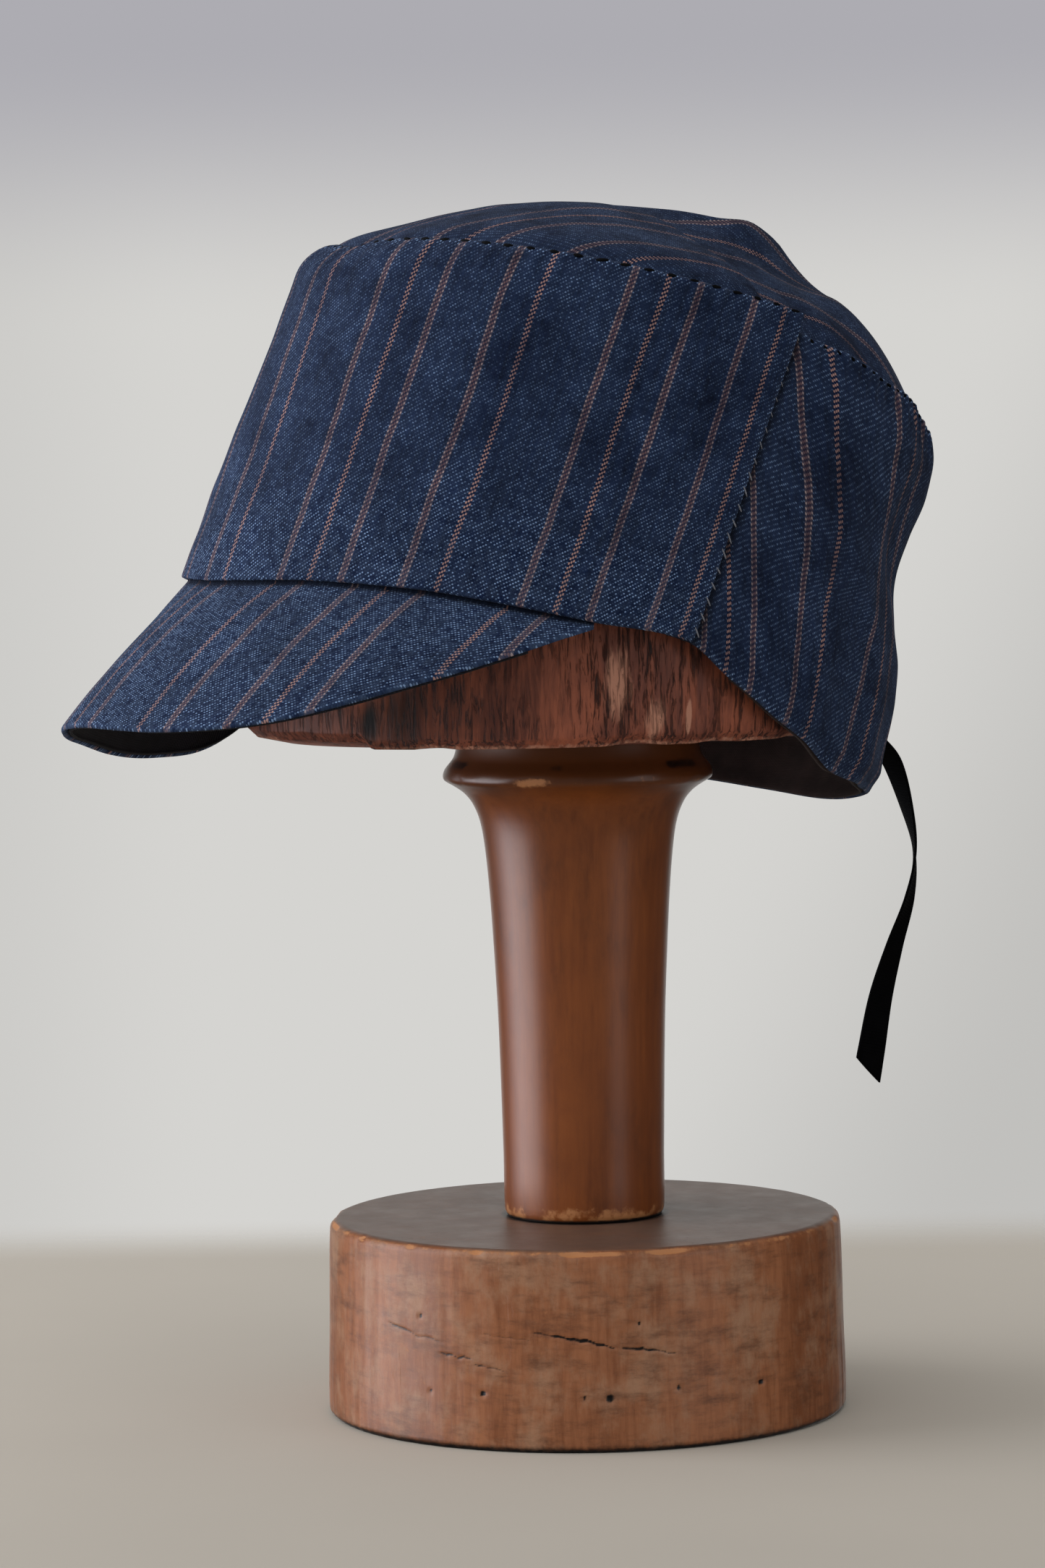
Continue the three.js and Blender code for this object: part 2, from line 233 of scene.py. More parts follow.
def srgb(*values):
    """Screen colour values from 0 to 255 as the linear colour that Blender mixes."""
    shares = [v / 255 for v in values]
    return tuple(s / 12.92 if s < 0.04045 else ((s + 0.055) / 1.055) ** 2.4 for s in shares)


def shaded(shade, share):
    return [share * c for c in shade]


def size(name, description, default):
    return FloatProperty(
        name=name, description=description, default=default, min=0, unit="LENGTH", precision=5
    )


def colour(name, description, *shade):
    default = srgb(*shade)
    return FloatVectorProperty(
        name=name, description=description, default=default, subtype="COLOR", size=3, min=0, max=1
    )


def amount(name, description, default):
    return FloatProperty(
        name=name, description=description, default=default, min=0, max=100, subtype="FACTOR"
    )


class CapProperties(bpy.types.PropertyGroup):
    """Sizes and colours of the sewn cap."""

    cloth: size("Cloth", "Thickness of the crown's cloth", 0.0016)
    peak_cloth: size("Peak cloth", "Thickness of the peak's upper cloth", 0.0014)
    lining: size("Lining", "Thickness of the linings", 0.001)
    yarn: size("Yarn", "Width of one warp yarn", 0.000524)
    ribbon_length: size("Ribbon", "Length of the free tie", 0.118)
    indigo: colour("Indigo", "Warp of the denim", 13, 37, 80)
    fleck: colour("Fleck", "Pale weft between the warp yarns", 118, 144, 183)
    thick_colour: colour("Thick stripe", "Inner yarns of the thick stripes", 108, 84, 88)
    edge_colour: colour("Stripe edge", "Outer yarns of the thick stripes", 166, 146, 146)
    thin_colour: colour("Thin stripe", "Yarn of the thin stripes", 172, 136, 128)
    under_peak: colour("Peak lining", "Cloth under the peak", 22, 22, 32)
    inside: colour("Back lining", "Cloth inside the back", 52, 38, 37)
    ribbon: colour("Ribbon colour", "Ribbed tie", 6, 6, 8)
    # The dark thread's colour is also the painted shade in the cloth beside its seams.
    dark_thread: colour("Dark thread", "Stitches of the top seam", 6, 7, 12)
    pale_thread: colour("Pale thread", "Whip stitches of the side seams", 140, 143, 154)


class StandProperties(bpy.types.PropertyGroup):
    """Colours of the wooden stand."""

    block_light: colour("Block", "Lighter wood of the block", 160, 88, 62)
    block_dark: colour("Block shade", "Darker wood of the block", 98, 50, 38)
    block_streak: colour("Block streaks", "Near-black streaks of the block", 30, 22, 24)
    collar: colour("Collar", "Darkened flare under the block", 84, 46, 20)
    stem_light: colour("Stem", "Lighter wood of the stem", 142, 76, 30)
    stem_dark: colour("Stem shade", "Darker wood of the stem", 122, 62, 24)
    base_light: colour("Base", "Lighter wood of the base", 162, 103, 67)
    base_dark: colour("Base shade", "Darker wood of the base", 131, 76, 43)
    base_grey: colour("Base patches", "Greyed patches of the base", 167, 127, 99)
    base_smear: colour("Base smears", "Dark smears across the base", 88, 52, 32)
    base_top: colour("Base top", "Darkened top of the base", 97, 78, 69)
    bare: colour("Bare wood", "Wood bared by wear along the edges", 184, 124, 78)
    block_bare: colour("Worn block", "Paler wood where the block is rubbed", 182, 128, 106)
    # Grime in cracks and holes; the same colour paints the contact shadow at the base's foot and
    # the darker rings at the stem's ends.
    grime: colour("Grime", "Dirt in cracks and holes", 22, 16, 14)


class StageProperties(bpy.types.PropertyGroup):
    """Camera, light and floor."""

    camera_distance: size("Camera distance", "From the stand's axis", 1.4)
    camera_height: size("Camera height", "Above the floor", 0.257)
    camera_turn: FloatProperty(
        name="Camera turn",
        description="Round the stand from the front",
        default=math.radians(59),
        subtype="ANGLE",
    )
    floor: colour("Floor", "Pale floor", 199, 192, 182)
    wall: colour("Backdrop", "Pale light all round", 213, 212, 209)
    sky: colour("Backdrop above", "Cooler light above", 173, 172, 178)
    key: amount("Key light", "Power of the large soft light in watts", 16.5)
    fill: amount("Fill light", "Power of the weak light in watts", 2.4)
    room: amount("Room light", "Strength of the light all round", 1.3)


def sine(turn):
    return math.sin(math.radians(turn))


def cosine(turn):
    return math.cos(math.radians(turn))


def half_turn(turn):
    return 180 - abs(180 - ((turn + 360) % 360))


def smoothstep(value, low, high):
    t = min(max((value - low) / (high - low), 0), 1)
    return t * t * (3 - 2 * t)


def fading(value, low, high):
    return 1 - smoothstep(value, low, high)


def uneven(x, y, z):
    return noise.noise(Vector((x, y, z)))


def hump(value, middle, reach):
    return math.cos(min(abs(value - middle) / reach, 1) * math.pi / 2) ** 2


def roll(distance, radius):
    """How far a rounded edge has sunk at a distance from its end."""
    past = max(0.0, radius - distance)
    return radius - math.sqrt(max(radius * radius - past * past, 0))


def oval(ring, turn, z):
    return Vector((ring[1] * sine(turn), ring[2] - ring[0] * cosine(turn), z))


@lru_cache(None)
def outward(turn):
    return Vector((HEAD[0] * sine(turn), -HEAD[1] * cosine(turn), 0)).normalized()


@lru_cache(None)
def section(turn):
    half = half_turn(turn)
    low = oval(HEAD, turn, SECTIONS.read("hem", half))
    high = oval(TIP, turn + SEAM_LEAN * sine(turn), SECTIONS.read("tip", half))
    return low, high, SECTIONS.read("slack", half), SECTIONS.read("shoulder", half)


def edge_wear(distance):
    return fading(distance, *EDGE_WEAR)


def ripple(point, slack):
    """The soft unevenness of worn cloth, with upright folds where it hangs slack."""
    waves, tight, loose = BROAD_RIPPLE
    broad = noise.noise(point * waves + Vector((3.1, 1.7, 8.2)))
    swell = (tight + loose * slack) * broad
    waves, tight, loose = SMALL_RIPPLE
    small = noise.noise(point * waves + Vector((9.4, 4.2, 0.6)))
    swell += (tight + loose * slack) * small
    across, up, loose = UPRIGHT_RIPPLE
    upright = uneven(point.x * across, point.y * across, point.z * up + 5.3)
    return swell + loose * slack * upright


def wall(turn, rise, inward=0.0):
    """A point of the crown's wall, from the hem (rise 0) to the top seam (rise 1)."""
    low, high, slack, shoulder = section(turn)
    folds = sum(swell * hump(rise, at, reach) for at, reach, swell in FOLDS)
    tight_at, tight_reach, later = SHOULDER_TIGHT
    start = SHOULDER_FROM + later * hump(turn, tight_at, tight_reach)
    past = max(0, (rise - start) / (1 - start))
    out = slack * folds + shoulder * rise * (1 - past**3) - inward
    point = low.lerp(high, rise)
    return point + outward(turn) * (out + ripple(point, slack))


def underlap(turn, cloth):
    return (cloth + SEAM_GAP) * fading(abs(half_turn(turn) - SIDE_SEAM), 5, 14)


def seam_step(turn):
    drop, reach = SEAM_STEP
    past = half_turn(turn) - SIDE_SEAM
    return drop * fading(past, 0, reach) * smoothstep(past, -2 * SEAM_LAP, -SEAM_LAP)


@lru_cache(None)
def top_rim(turn, cloth):
    half = half_turn(turn)
    rim = wall(turn, 1, underlap(turn, cloth) + cloth + SEAM_GAP)
    return rim, *(TOP_FALL.read(column, half) for column in ("flat", "power", "puff"))


def top(turn, out, cloth):
    """A point of the top panel, from its middle (out 0) to its sewn rim (out 1)."""
    rim, flat, power, puff = top_rim(turn, cloth)
    full_at, full_reach, full = TOP_SEAM_FULL
    dip = TOP_SEAM_DIP * (1 - full * hump(turn, full_at, full_reach))
    seam = rim.z - dip - seam_step(turn)
    fall = max(0, (out - flat) / (1 - flat)) ** power
    x, y = rim.x * out, TOP_MIDDLE + (rim.y - TOP_MIDDLE) * out
    place, level, bend = TOP_CREST
    crest = level - bend * ((y - place) ** 2 + x**2)
    puff += dip
    z = seam + puff * (1 - out**14) + (crest - seam - puff) * (1 - fall)
    share, slack = TOP_RIPPLE
    lift = share * ripple(Vector((x, y, 300)), slack)
    lift *= smoothstep(1 - out, 0.02, 0.2) * smoothstep(out, 0, 0.3)
    dents = sum(swell * hump(out, at, reach) for at, reach, swell in TOP_DENTS)
    return Vector((x, y, z + lift + dents * smoothstep(half_turn(turn), 95, 130)))


def peak(turn, run, below, cloth):
    """A point of the peak: inside the front panel where run is under 0, then along its droop."""
    if run < 0:
        return wall(turn, -run / WALL_HEIGHT, cloth + SEAM_GAP + below)
    reach = PEAK.read("reach", turn)
    root = wall(turn, 0, cloth + SEAM_GAP)
    root.z -= SEAM_GAP + PEAK_TUCK * min(reach / 20, 1)
    ahead = Vector((sine(turn * PEAK_FAN), -cosine(turn * PEAK_FAN), 0))
    droop = PEAK.read("droop", turn)
    along = ahead * cosine(droop) - Vector((0, 0, sine(droop)))
    up = ahead * sine(droop) + Vector((0, 0, cosine(droop)))
    camber = PEAK_CAMBER * 4 * run * (1 - run / max(reach, 0.1))
    place = root + along * run
    camber += 0.5 * ripple(place, 0) * smoothstep(run, 0, 12)
    return place + up * (camber - below)


def spread(start, end, count):
    return [start + (end - start) * i / count for i in range(count + 1)]


def fine_ends(start, end, count, edge):
    """Places from start to end, with three more close to each end for its rounded edge."""
    near = [edge * k for k in (0, 0.15, 0.4, 0.75)]
    inner = [v for v in spread(start, end, count) if start + edge < v < end - edge]
    return [start + k for k in near] + inner + [end - k for k in reversed(near)]


def linked(name, data):
    made = bpy.data.objects.new(name, data)
    bpy.context.scene.collection.objects.link(made)
    return made


def meshed(name, bm, material):
    mesh = bpy.data.meshes.new(name)
    bm.to_mesh(mesh)
    bm.free()
    mesh.materials.append(material)
    return linked(name, mesh)


def weld(bm):
    bmesh.ops.remove_doubles(bm, verts=bm.verts, dist=WELD)


def finished(name, bm, material):
    """Turns a bmesh in millimetres into an object of the part, in place and in metres."""
    bmesh.ops.scale(bm, vec=(MM, MM, MM), verts=bm.verts)
    for face in bm.faces:
        face.smooth = True
    piece = meshed(name, bm, material)
    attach(piece, "root")
    return piece


def placed(across, along, place):
    """The points place(u, v) of a grid, column by column."""
    return [[place(u, v) for v in along] for u in across]


def running(points):
    """How far along a line each of its points lies."""
    lengths = [0.0]
    for a, b in zip(points, points[1:]):
        lengths.append(lengths[-1] + (b - a).length)
    return lengths


def grid(across, along, points, layers, flip=False):
    """A bmesh grid at points; layers(u, v, i, j) gives place on the cloth, wear and painted shade.
    """
    bm = bmesh.new()
    columns, rows = len(across) - 1, len(along) - 1
    bmesh.ops.create_grid(bm, x_segments=columns, y_segments=rows, size=0.5)
    wear = bm.verts.layers.float.new("wear")
    dirt = bm.verts.layers.float.new("dirt")
    uv = bm.loops.layers.uv.new("cloth")
    flat = {}
    for vert in bm.verts:
        i = round((vert.co.x + 0.5) * columns)
        j = round((vert.co.y + 0.5) * rows)
        vert.co = points[i][j]
        flat[vert], vert[wear], vert[dirt] = layers(across[i], along[j], i, j)
    for face in bm.faces:
        for loop in face.loops:
            loop[uv].uv = Vector(flat[loop.vert]) / UV_SCALE
    if flip:
        bmesh.ops.reverse_faces(bm, faces=bm.faces)
    return bm


def thicken(piece, thickness, offset=-1.0):
    solid = piece.modifiers.new("Thickness", "SOLIDIFY")
    solid.thickness = thickness
    solid.offset = offset
    return piece


class Nodes:
    """Short words for building a shader tree."""

    def __init__(self, tree):
        self.tree = tree
        tree.nodes.clear()

    def put(self, socket, value):
        if isinstance(value, bpy.types.NodeSocket):
            self.tree.links.new(value, socket)
        elif socket.type == "RGBA" and len(value) == 3:
            socket.default_value = (*value, 1)
        else:
            socket.default_value = value

    def add(self, kind, inputs=(), **settings):
        node = self.tree.nodes.new("ShaderNode" + kind)
        for key, value in settings.items():
            setattr(node, key, value)
        for key, value in dict(inputs).items():
            self.put(node.inputs[key], value)
        return node

    def math(self, operation, *values, clamp=False):
        node = self.add("Math", enumerate(values), operation=operation, use_clamp=clamp)
        return node.outputs[0]

    def times(self, a, b, clamp=False):
        return self.math("MULTIPLY", a, b, clamp=clamp)

    def plus(self, a, b, clamp=False):
        return self.math("ADD", a, b, clamp=clamp)

    def minus(self, a, b):
        return self.math("SUBTRACT", a, b)

    def times_plus(self, a, b, c, clamp=False):
        return self.math("MULTIPLY_ADD", a, b, c, clamp=clamp)

    def dot(self, a, b):
        node = self.add("VectorMath", {0: a, 1: b}, operation="DOT_PRODUCT")
        return node.outputs["Value"]

    def scaled(self, vector, scale):
        return self.add("VectorMath", {0: vector, "Scale": scale}, operation="SCALE").outputs[0]

    def drawn(self, vector, up):
        """A vector with its height scaled, so that noise is drawn out along Z."""
        return self.add("VectorMath", {0: vector, 1: (1, 1, up)}, operation="MULTIPLY").outputs[0]

    def mix(self, factor, a, b):
        return self.add("Mix", {0: factor, 6: a, 7: b}, data_type="RGBA").outputs[2]

    def noise(self, vector, scale, detail=2.0, roughness=0.5, distortion=0.0):
        values = {"Vector": vector, "Scale": scale, "Detail": detail, "Roughness": roughness}
        node = self.add("TexNoise", {**values, "Distortion": distortion}, noise_dimensions="3D")
        return node.outputs["Fac"]

    def step(self, value, low, high, to_low=0.0, to_high=1.0):
        values = {"Value": value, 1: low, 2: high, 3: to_low, 4: to_high}
        return self.add("MapRange", values, interpolation_type="SMOOTHSTEP").outputs["Result"]

    def parts(self, vector):
        return self.add("SeparateXYZ", {0: vector}).outputs

    def attribute(self, name):
        return self.add("Attribute", attribute_name=name).outputs["Fac"]

    def bands(self, factor, stops):
        """A colour ramp that doesn't blend from stop to stop."""
        node = self.add("ValToRGB", {0: factor})
        node.color_ramp.interpolation = "CONSTANT"
        elements = node.color_ramp.elements
        elements[0].position, elements[1].position = stops[0][0], stops[-1][0]
        for place, _ in stops[1:-1]:
            elements.new(place)
        for element, (_, shade) in zip(elements, stops):
            element.color = (*shade, 1)
        return node.outputs[0]


def group(name, inputs, outputs, build):
    """A shader node group with named sockets, made once; build(nodes, inputs) gives its outputs."""
    tree = bpy.data.node_groups.new(name, "ShaderNodeTree")
    for in_out, sockets in (("INPUT", inputs), ("OUTPUT", outputs)):
        for socket, kind in sockets.items():
            tree.interface.new_socket(socket, in_out=in_out, socket_type="NodeSocket" + kind)
    nodes = Nodes(tree)
    entry = tree.nodes.new("NodeGroupInput")
    leave = tree.nodes.new("NodeGroupOutput")
    for socket, value in build(nodes, entry.outputs).items():
        nodes.put(leave.inputs[socket], value)
    return tree


def stripe_stops(repeat):
    """Ramp stops: red on a thick stripe's edges, green inside it, blue on a thin stripe."""
    stops = [(0, (0, 0, 0))]
    for place, is_thick in STRIPES:
        middle = round(place / STRIPE_REPEAT * repeat) + STRIPE_START
        yarns = ((-2, (1, 0, 0)), (-1, (0, 1, 0)), (1, (1, 0, 0)), (2, (0, 0, 0)))
        if not is_thick:
            yarns = ((-1, (0, 0, 1)), (2, (0, 0, 0)))
        stops += [((middle + k) / repeat, shade) for k, shade in yarns]
    return stops


def twill_group(cap):
    """Indigo twill with pale flecks and pinstripes, from a place on the flat cloth in mm."""
    repeat = round(STRIPE_REPEAT / (cap.yarn / MM))
    yarn = STRIPE_REPEAT / repeat
    pick = WEFT_SHARE * yarn

    def build(n, given):
        cloth = given["Cloth"]
        sway = n.minus(n.noise(cloth, 0.03, 3.0, 0.55), 0.5)
        x, y, _ = n.parts(cloth)
        across = n.times_plus(sway, 2.4, x)
        count = n.math("DIVIDE", across, yarn)
        number = n.math("FLOOR", count)
        side = n.math("ABSOLUTE", n.minus(n.math("FRACT", count), 0.5))
        # Two yarns up and one down, so each yarn dips a third of the length from the next one.
        phase = n.math("DIVIDE", n.minus(n.math("DIVIDE", y, pick), number), 3)
        dip = n.math("ABSOLUTE", n.minus(n.math("FRACT", phase), 0.5))
        key = n.add("CombineXYZ", {0: number, 1: n.math("FLOOR", phase)}).outputs[0]
        chance = n.add("TexWhiteNoise", {"Vector": key}, noise_dimensions="3D").outputs["Value"]
        own = n.add("TexWhiteNoise", {"W": number}, noise_dimensions="1D").outputs["Value"]
        cloud = n.noise(cloth, 0.055, 4.0, 0.6)
        patch = n.noise(cloth, 0.3, 3.0, 0.6)
        fade = n.times_plus(n.minus(cloud, 0.5), 1.7, given["Fade"])
        fade = n.times_plus(n.minus(patch, 0.5), 0.8, fade, clamp=True)
        shade = n.times_plus(own, 0.3, n.times_plus(fade, 0.8, 0.4))
        ground = n.mix(n.times(shade, 0.5, clamp=True), (0, 0, 0), given["Indigo"])
        place = n.math("FRACT", n.math("DIVIDE", n.plus(number, STRIPE_START + 0.5), repeat))
        outer, inner, thin = n.parts(n.bands(place, stripe_stops(repeat)))
        round_yarn = n.step(side, 0.56, 0.25)
        floats = n.times(n.step(dip, 0.2, 0.34), round_yarn)
        worn = n.times_plus(fade, 1.05, 0.27, clamp=True)
        dots = n.times(n.step(dip, 0.2, 0.36), round_yarn)
        dots = n.times_plus(dots, 0.8, 0.15)
        beads = n.times_plus(floats, 0.8, 0.2)
        body = n.mix(n.times(n.times(inner, worn), beads), ground, given["Thick stripe"])
        body = n.mix(n.times(n.times(outer, worn), dots), body, given["Stripe edge"])
        body = n.mix(n.times(n.times(thin, worn), floats), body, given["Thin stripe"])
        plain = n.minus(1.0, n.plus(n.plus(outer, inner), thin))
        weft = n.times(n.step(dip, 0.2, 0.1), n.step(side, 0.5, 0.25))
        # Where the cloth isn't crisp, each fleck spreads towards the average of them all.
        speck = n.minus(n.times(weft, n.math("POWER", chance, 1.4)), MEAN_FLECK)
        speck = n.times_plus(speck, given["Crisp"], MEAN_FLECK)
        fleck = n.times(speck, n.times_plus(fade, 1.7, 0.05))
        fleck = n.times(fleck, plain, clamp=True)
        final = n.mix(fleck, body, given["Fleck"])
        relief = n.times_plus(round_yarn, 0.5, n.times(weft, -0.5))
        relief = n.times_plus(patch, 0.8, n.times(relief, given["Crisp"]))
        return {"Color": final, "Height": relief, "Mottle": cloud}

    inputs = {"Cloth": "Vector", "Fade": "Float", "Crisp": "Float"}
    for yarn_kind in ("Indigo", "Fleck", "Thick stripe", "Stripe edge", "Thin stripe"):
        inputs[yarn_kind] = "Color"
    outputs = {"Color": "Color", "Height": "Float", "Mottle": "Float"}
    return group("Striped twill", inputs, outputs, build)


def weave_group():
    """A plain weave's height and mottle, from a place in millimetres."""

    def build(n, given):
        place = given["Place"]
        threads = {"Vector": place, "Scale": 1.1, "Distortion": 0.6, "Detail": 1.0}
        warp = n.add("TexWave", threads, bands_direction="X").outputs["Fac"]
        weft = n.add("TexWave", threads, bands_direction="Z").outputs["Fac"]
        return {"Height": n.times(warp, weft), "Mottle": n.noise(place, 0.12, 4.0, 0.6)}

    return group("Plain weave", {"Place": "Vector"}, {"Height": "Float", "Mottle": "Float"}, build)


def grain_group():
    """Wood grain, from a place in millimetres and the same place drawn out along the grain."""

    def build(n, given):
        place, long = given["Place"], given["Grain"]
        broad = n.noise(long, 0.045, 3.0, 0.55, 0.6)
        fine = n.noise(long, 0.55, 4.0, 0.65, 0.3)
        pores = n.noise(long, given["Streak scale"], 7.0, 0.72, 0.5)
        tone = n.times_plus(n.minus(fine, 0.5), 0.9, broad)
        tone = n.step(tone, 0.25, 0.8)
        streak = n.step(pores, given["Streak from"], n.plus(given["Streak from"], 0.13))
        streak = n.times(streak, n.step(n.noise(place, 0.05, 2.0), 0.3, 0.62))
        body = n.mix(tone, given["Dark"], given["Light"])
        body = n.mix(n.times(streak, given["Streaks"]), body, given["Streak"])
        relief = n.times_plus(streak, -0.8, n.times(fine, 0.5))
        return {"Color": body, "Height": relief, "Tone": tone}

    inputs = {"Place": "Vector", "Grain": "Vector"}
    inputs.update({"Light": "Color", "Dark": "Color", "Streak": "Color"})
    inputs.update({"Streaks": "Float", "Streak scale": "Float", "Streak from": "Float"})
    outputs = {"Color": "Color", "Height": "Float", "Tone": "Float"}
    return group("Wood grain", inputs, outputs, build)


def worn_group():
    """Lays bare wood, and grime with painted shade, over a finish by the piece's own layers, with
    noise.
    """

    def build(n, given):
        place = given["Place"]
        grit = n.minus(n.noise(place, 0.5, 4.0, 0.65), 0.5)
        bared = n.times_plus(grit, 1.3, n.times(n.attribute("wear"), 1.1))
        bared = n.step(bared, 0.3, 0.75)
        soiled = n.times_plus(grit, 0.5, n.attribute("dirt"))
        soiled = n.step(soiled, 0.25, 0.8)
        final = n.mix(bared, given["Finish"], given["Bare"])
        return {"Color": n.mix(soiled, final, given["Grime"]), "Bared": bared, "Soiled": soiled}

    inputs = {"Place": "Vector", "Finish": "Color", "Bare": "Color", "Grime": "Color"}
    outputs = {"Color": "Color", "Bared": "Float", "Soiled": "Float"}
    return group("Worn wood", inputs, outputs, build)


def material(name, build, **constants):
    """A material with one Principled shader; build(nodes) gives the sockets that vary on it."""
    made = bpy.data.materials.new(name)
    made.use_nodes = True
    n = Nodes(made.node_tree)
    shader = n.add("BsdfPrincipled")
    n.add("OutputMaterial", {0: shader.outputs[0]})
    for key, value in constants.items():
        n.put(shader.inputs[key.replace("_", " ")], value)
    for key, value in build(n).items():
        n.put(shader.inputs[key], value)
    return made


def bump(n, height, distance):
    return n.add("Bump", {"Height": height, "Distance": distance}).outputs[0]


def use(n, name, inputs):
    return n.add("Group", inputs, node_tree=bpy.data.node_groups[name]).outputs


def object_mm(n):
    return n.scaled(n.add("TexCoord").outputs["Object"], 1 / MM)


def cloth_mm(n):
    return n.scaled(n.add("UVMap", uv_map="cloth").outputs[0], UV_SCALE)


def denim(cap):
    found = bpy.data.materials.get("Striped denim")
    if found:
        return found
    twill_group(cap)

    def build(n):
        cloth = cloth_mm(n)
        wear = n.attribute("wear")
        values = {
            "Cloth": cloth,
            # Wear lightens the cloth; below zero, as on the back, it is painted shade.
            "Fade": n.times_plus(wear, 0.4, 0.42),
            "Crisp": n.math("MINIMUM", n.times_plus(wear, 1.4, 0.55), 1.2),
            "Indigo": cap.indigo,
            "Fleck": cap.fleck,
            "Thick stripe": cap.thick_colour,
            "Stripe edge": cap.edge_colour,
            "Thin stripe": cap.thin_colour,
        }
        twill = use(n, "Striped twill", values)
        rub = n.times(wear, n.step(n.noise(cloth, 0.35, 3.0, 0.6), 0.3, 0.7))
        rubbed = n.mix(n.times(rub, 0.22), twill["Color"], cap.fleck)
        # Painted shade beside the side seams, in the top seam's groove and under the front panel's
        # hem darkens the cloth to the dark thread's colour.
        final = n.mix(n.attribute("dirt"), rubbed, cap.dark_thread)
        rough = n.times_plus(twill["Mottle"], -0.12, 0.94)
        relief = bump(n, twill["Height"], 0.00022)
        return {"Base Color": final, "Roughness": rough, "Normal": relief}

    return material(
        "Striped denim", build, Specular_IOR_Level=0.15, Sheen_Weight=0.08, Sheen_Roughness=0.45,
        Sheen_Tint=srgb(170, 182, 214),
    )


def lining_cloth(name, shade):
    if "Plain weave" not in bpy.data.node_groups:
        weave_group()

    def build(n):
        weave = use(n, "Plain weave", {"Place": object_mm(n)})
        mottle = n.step(weave["Mottle"], 0.3, 0.7)
        tone = n.mix(mottle, shaded(shade, 0.7), shaded(shade, 1.25))
        rough = n.times_plus(weave["Mottle"], -0.1, 0.95)
        return {"Base Color": tone, "Roughness": rough, "Normal": bump(n, weave["Height"], 0.0002)}

    return material(name, build, Specular_IOR_Level=0.15, Sheen_Weight=0.08)


def ribbed(cap):
    def build(n):
        x, y, _ = n.parts(cloth_mm(n))
        ribs = n.math("SINE", n.times(y, 2 * math.pi / 0.9))
        edge = n.step(n.math("ABSOLUTE", x), 4.2, 4.6)
        height = n.times_plus(ribs, n.times_plus(edge, -0.3, 0.5), edge)
        dull = n.noise(cloth_mm(n), 0.15, 3.0, 0.6)
        dark, pale = shaded(cap.ribbon, 0.75), shaded(cap.ribbon, 1.2)
        tone = n.mix(n.step(dull, 0.3, 0.7), dark, pale)
        rough = n.times_plus(dull, 0.2, 0.65)
        return {"Base Color": tone, "Roughness": rough, "Normal": bump(n, height, 0.00012)}

    return material("Black ribbon", build, Specular_IOR_Level=0.06)


def thread(name, shade):
    def build(n):
        place = object_mm(n)
        twist = n.noise(place, 2.2, 2.0, 0.6)
        tone = n.mix(n.step(twist, 0.3, 0.7), shaded(shade, 0.65), shade)
        return {"Base Color": tone, "Roughness": 0.85, "Normal": bump(n, twist, 0.0001)}

    return material(name, build, Specular_IOR_Level=0.2)


def wood(name, stand, light, dark, streak, polish, **looks):
    """Worn, polished wood; looks holds the streaks, the wash over the grain and the gloss."""
    if "Wood grain" not in bpy.data.node_groups:
        grain_group()
        worn_group()

    def build(n):
        place = object_mm(n)
        values = {
            "Place": place,
            "Grain": n.drawn(place, looks.get("grain", 0.07)),
            "Light": light,
            "Dark": dark,
            "Streak": streak,
            "Streaks": looks["streaks"],
            "Streak scale": looks["streak_scale"],
            "Streak from": looks["streak_from"],
        }
        grain = use(n, "Wood grain", values)
        blots = n.drawn(place, looks.get("stain_stretch", 1.0))
        stain = n.noise(blots, looks.get("stain_scale", 0.03), 6.0, 0.7)
        blot = looks.get("stain_tone", dark)
        finish = n.mix(n.step(stain, 0.42, 0.68, 0, looks.get("stain", 0.35)), grain["Color"], blot)
        smear = n.noise(n.drawn(place, looks.get("smear_stretch", 3.5)), 0.08, 6.0, 0.72)
        finish = n.mix(n.step(smear, 0.42, 0.8, 0, looks.get("smears", 0.0)), finish, streak)
        if "upper" in looks:
            ragged = 6.0 * looks.get("ragged", 0)
            level = n.times_plus(n.minus(stain, 0.5), ragged, n.parts(place)["Z"])
            over = n.step(level, *looks["upper_from"], 0, looks.get("upper_share", 1.0))
            finish = n.mix(over, finish, looks["upper"])
        rub = n.drawn(place, looks.get("rub", 1.0))
        wear = {"Place": rub, "Finish": finish, "Bare": looks["bare"], "Grime": stand.grime}
        worn = use(n, "Worn wood", wear)
        dull = n.noise(place, 0.12, 4.0, 0.6)
        rough = n.times_plus(dull, looks["rough_spread"], polish)
        rough = n.plus(rough, n.times(worn["Bared"], 0.2), clamp=True)
        height = n.times_plus(worn["Soiled"], -0.5, grain["Height"])
        relief = bump(n, height, looks["relief"])
        return {"Base Color": worn["Color"], "Roughness": rough, "Normal": relief}

    coat = {"Coat_Weight": looks["coat"], "Coat_Roughness": looks.get("coat_rough", 0.25)}
    return material(name, build, Specular_IOR_Level=looks.get("specular", 0.4), **coat)


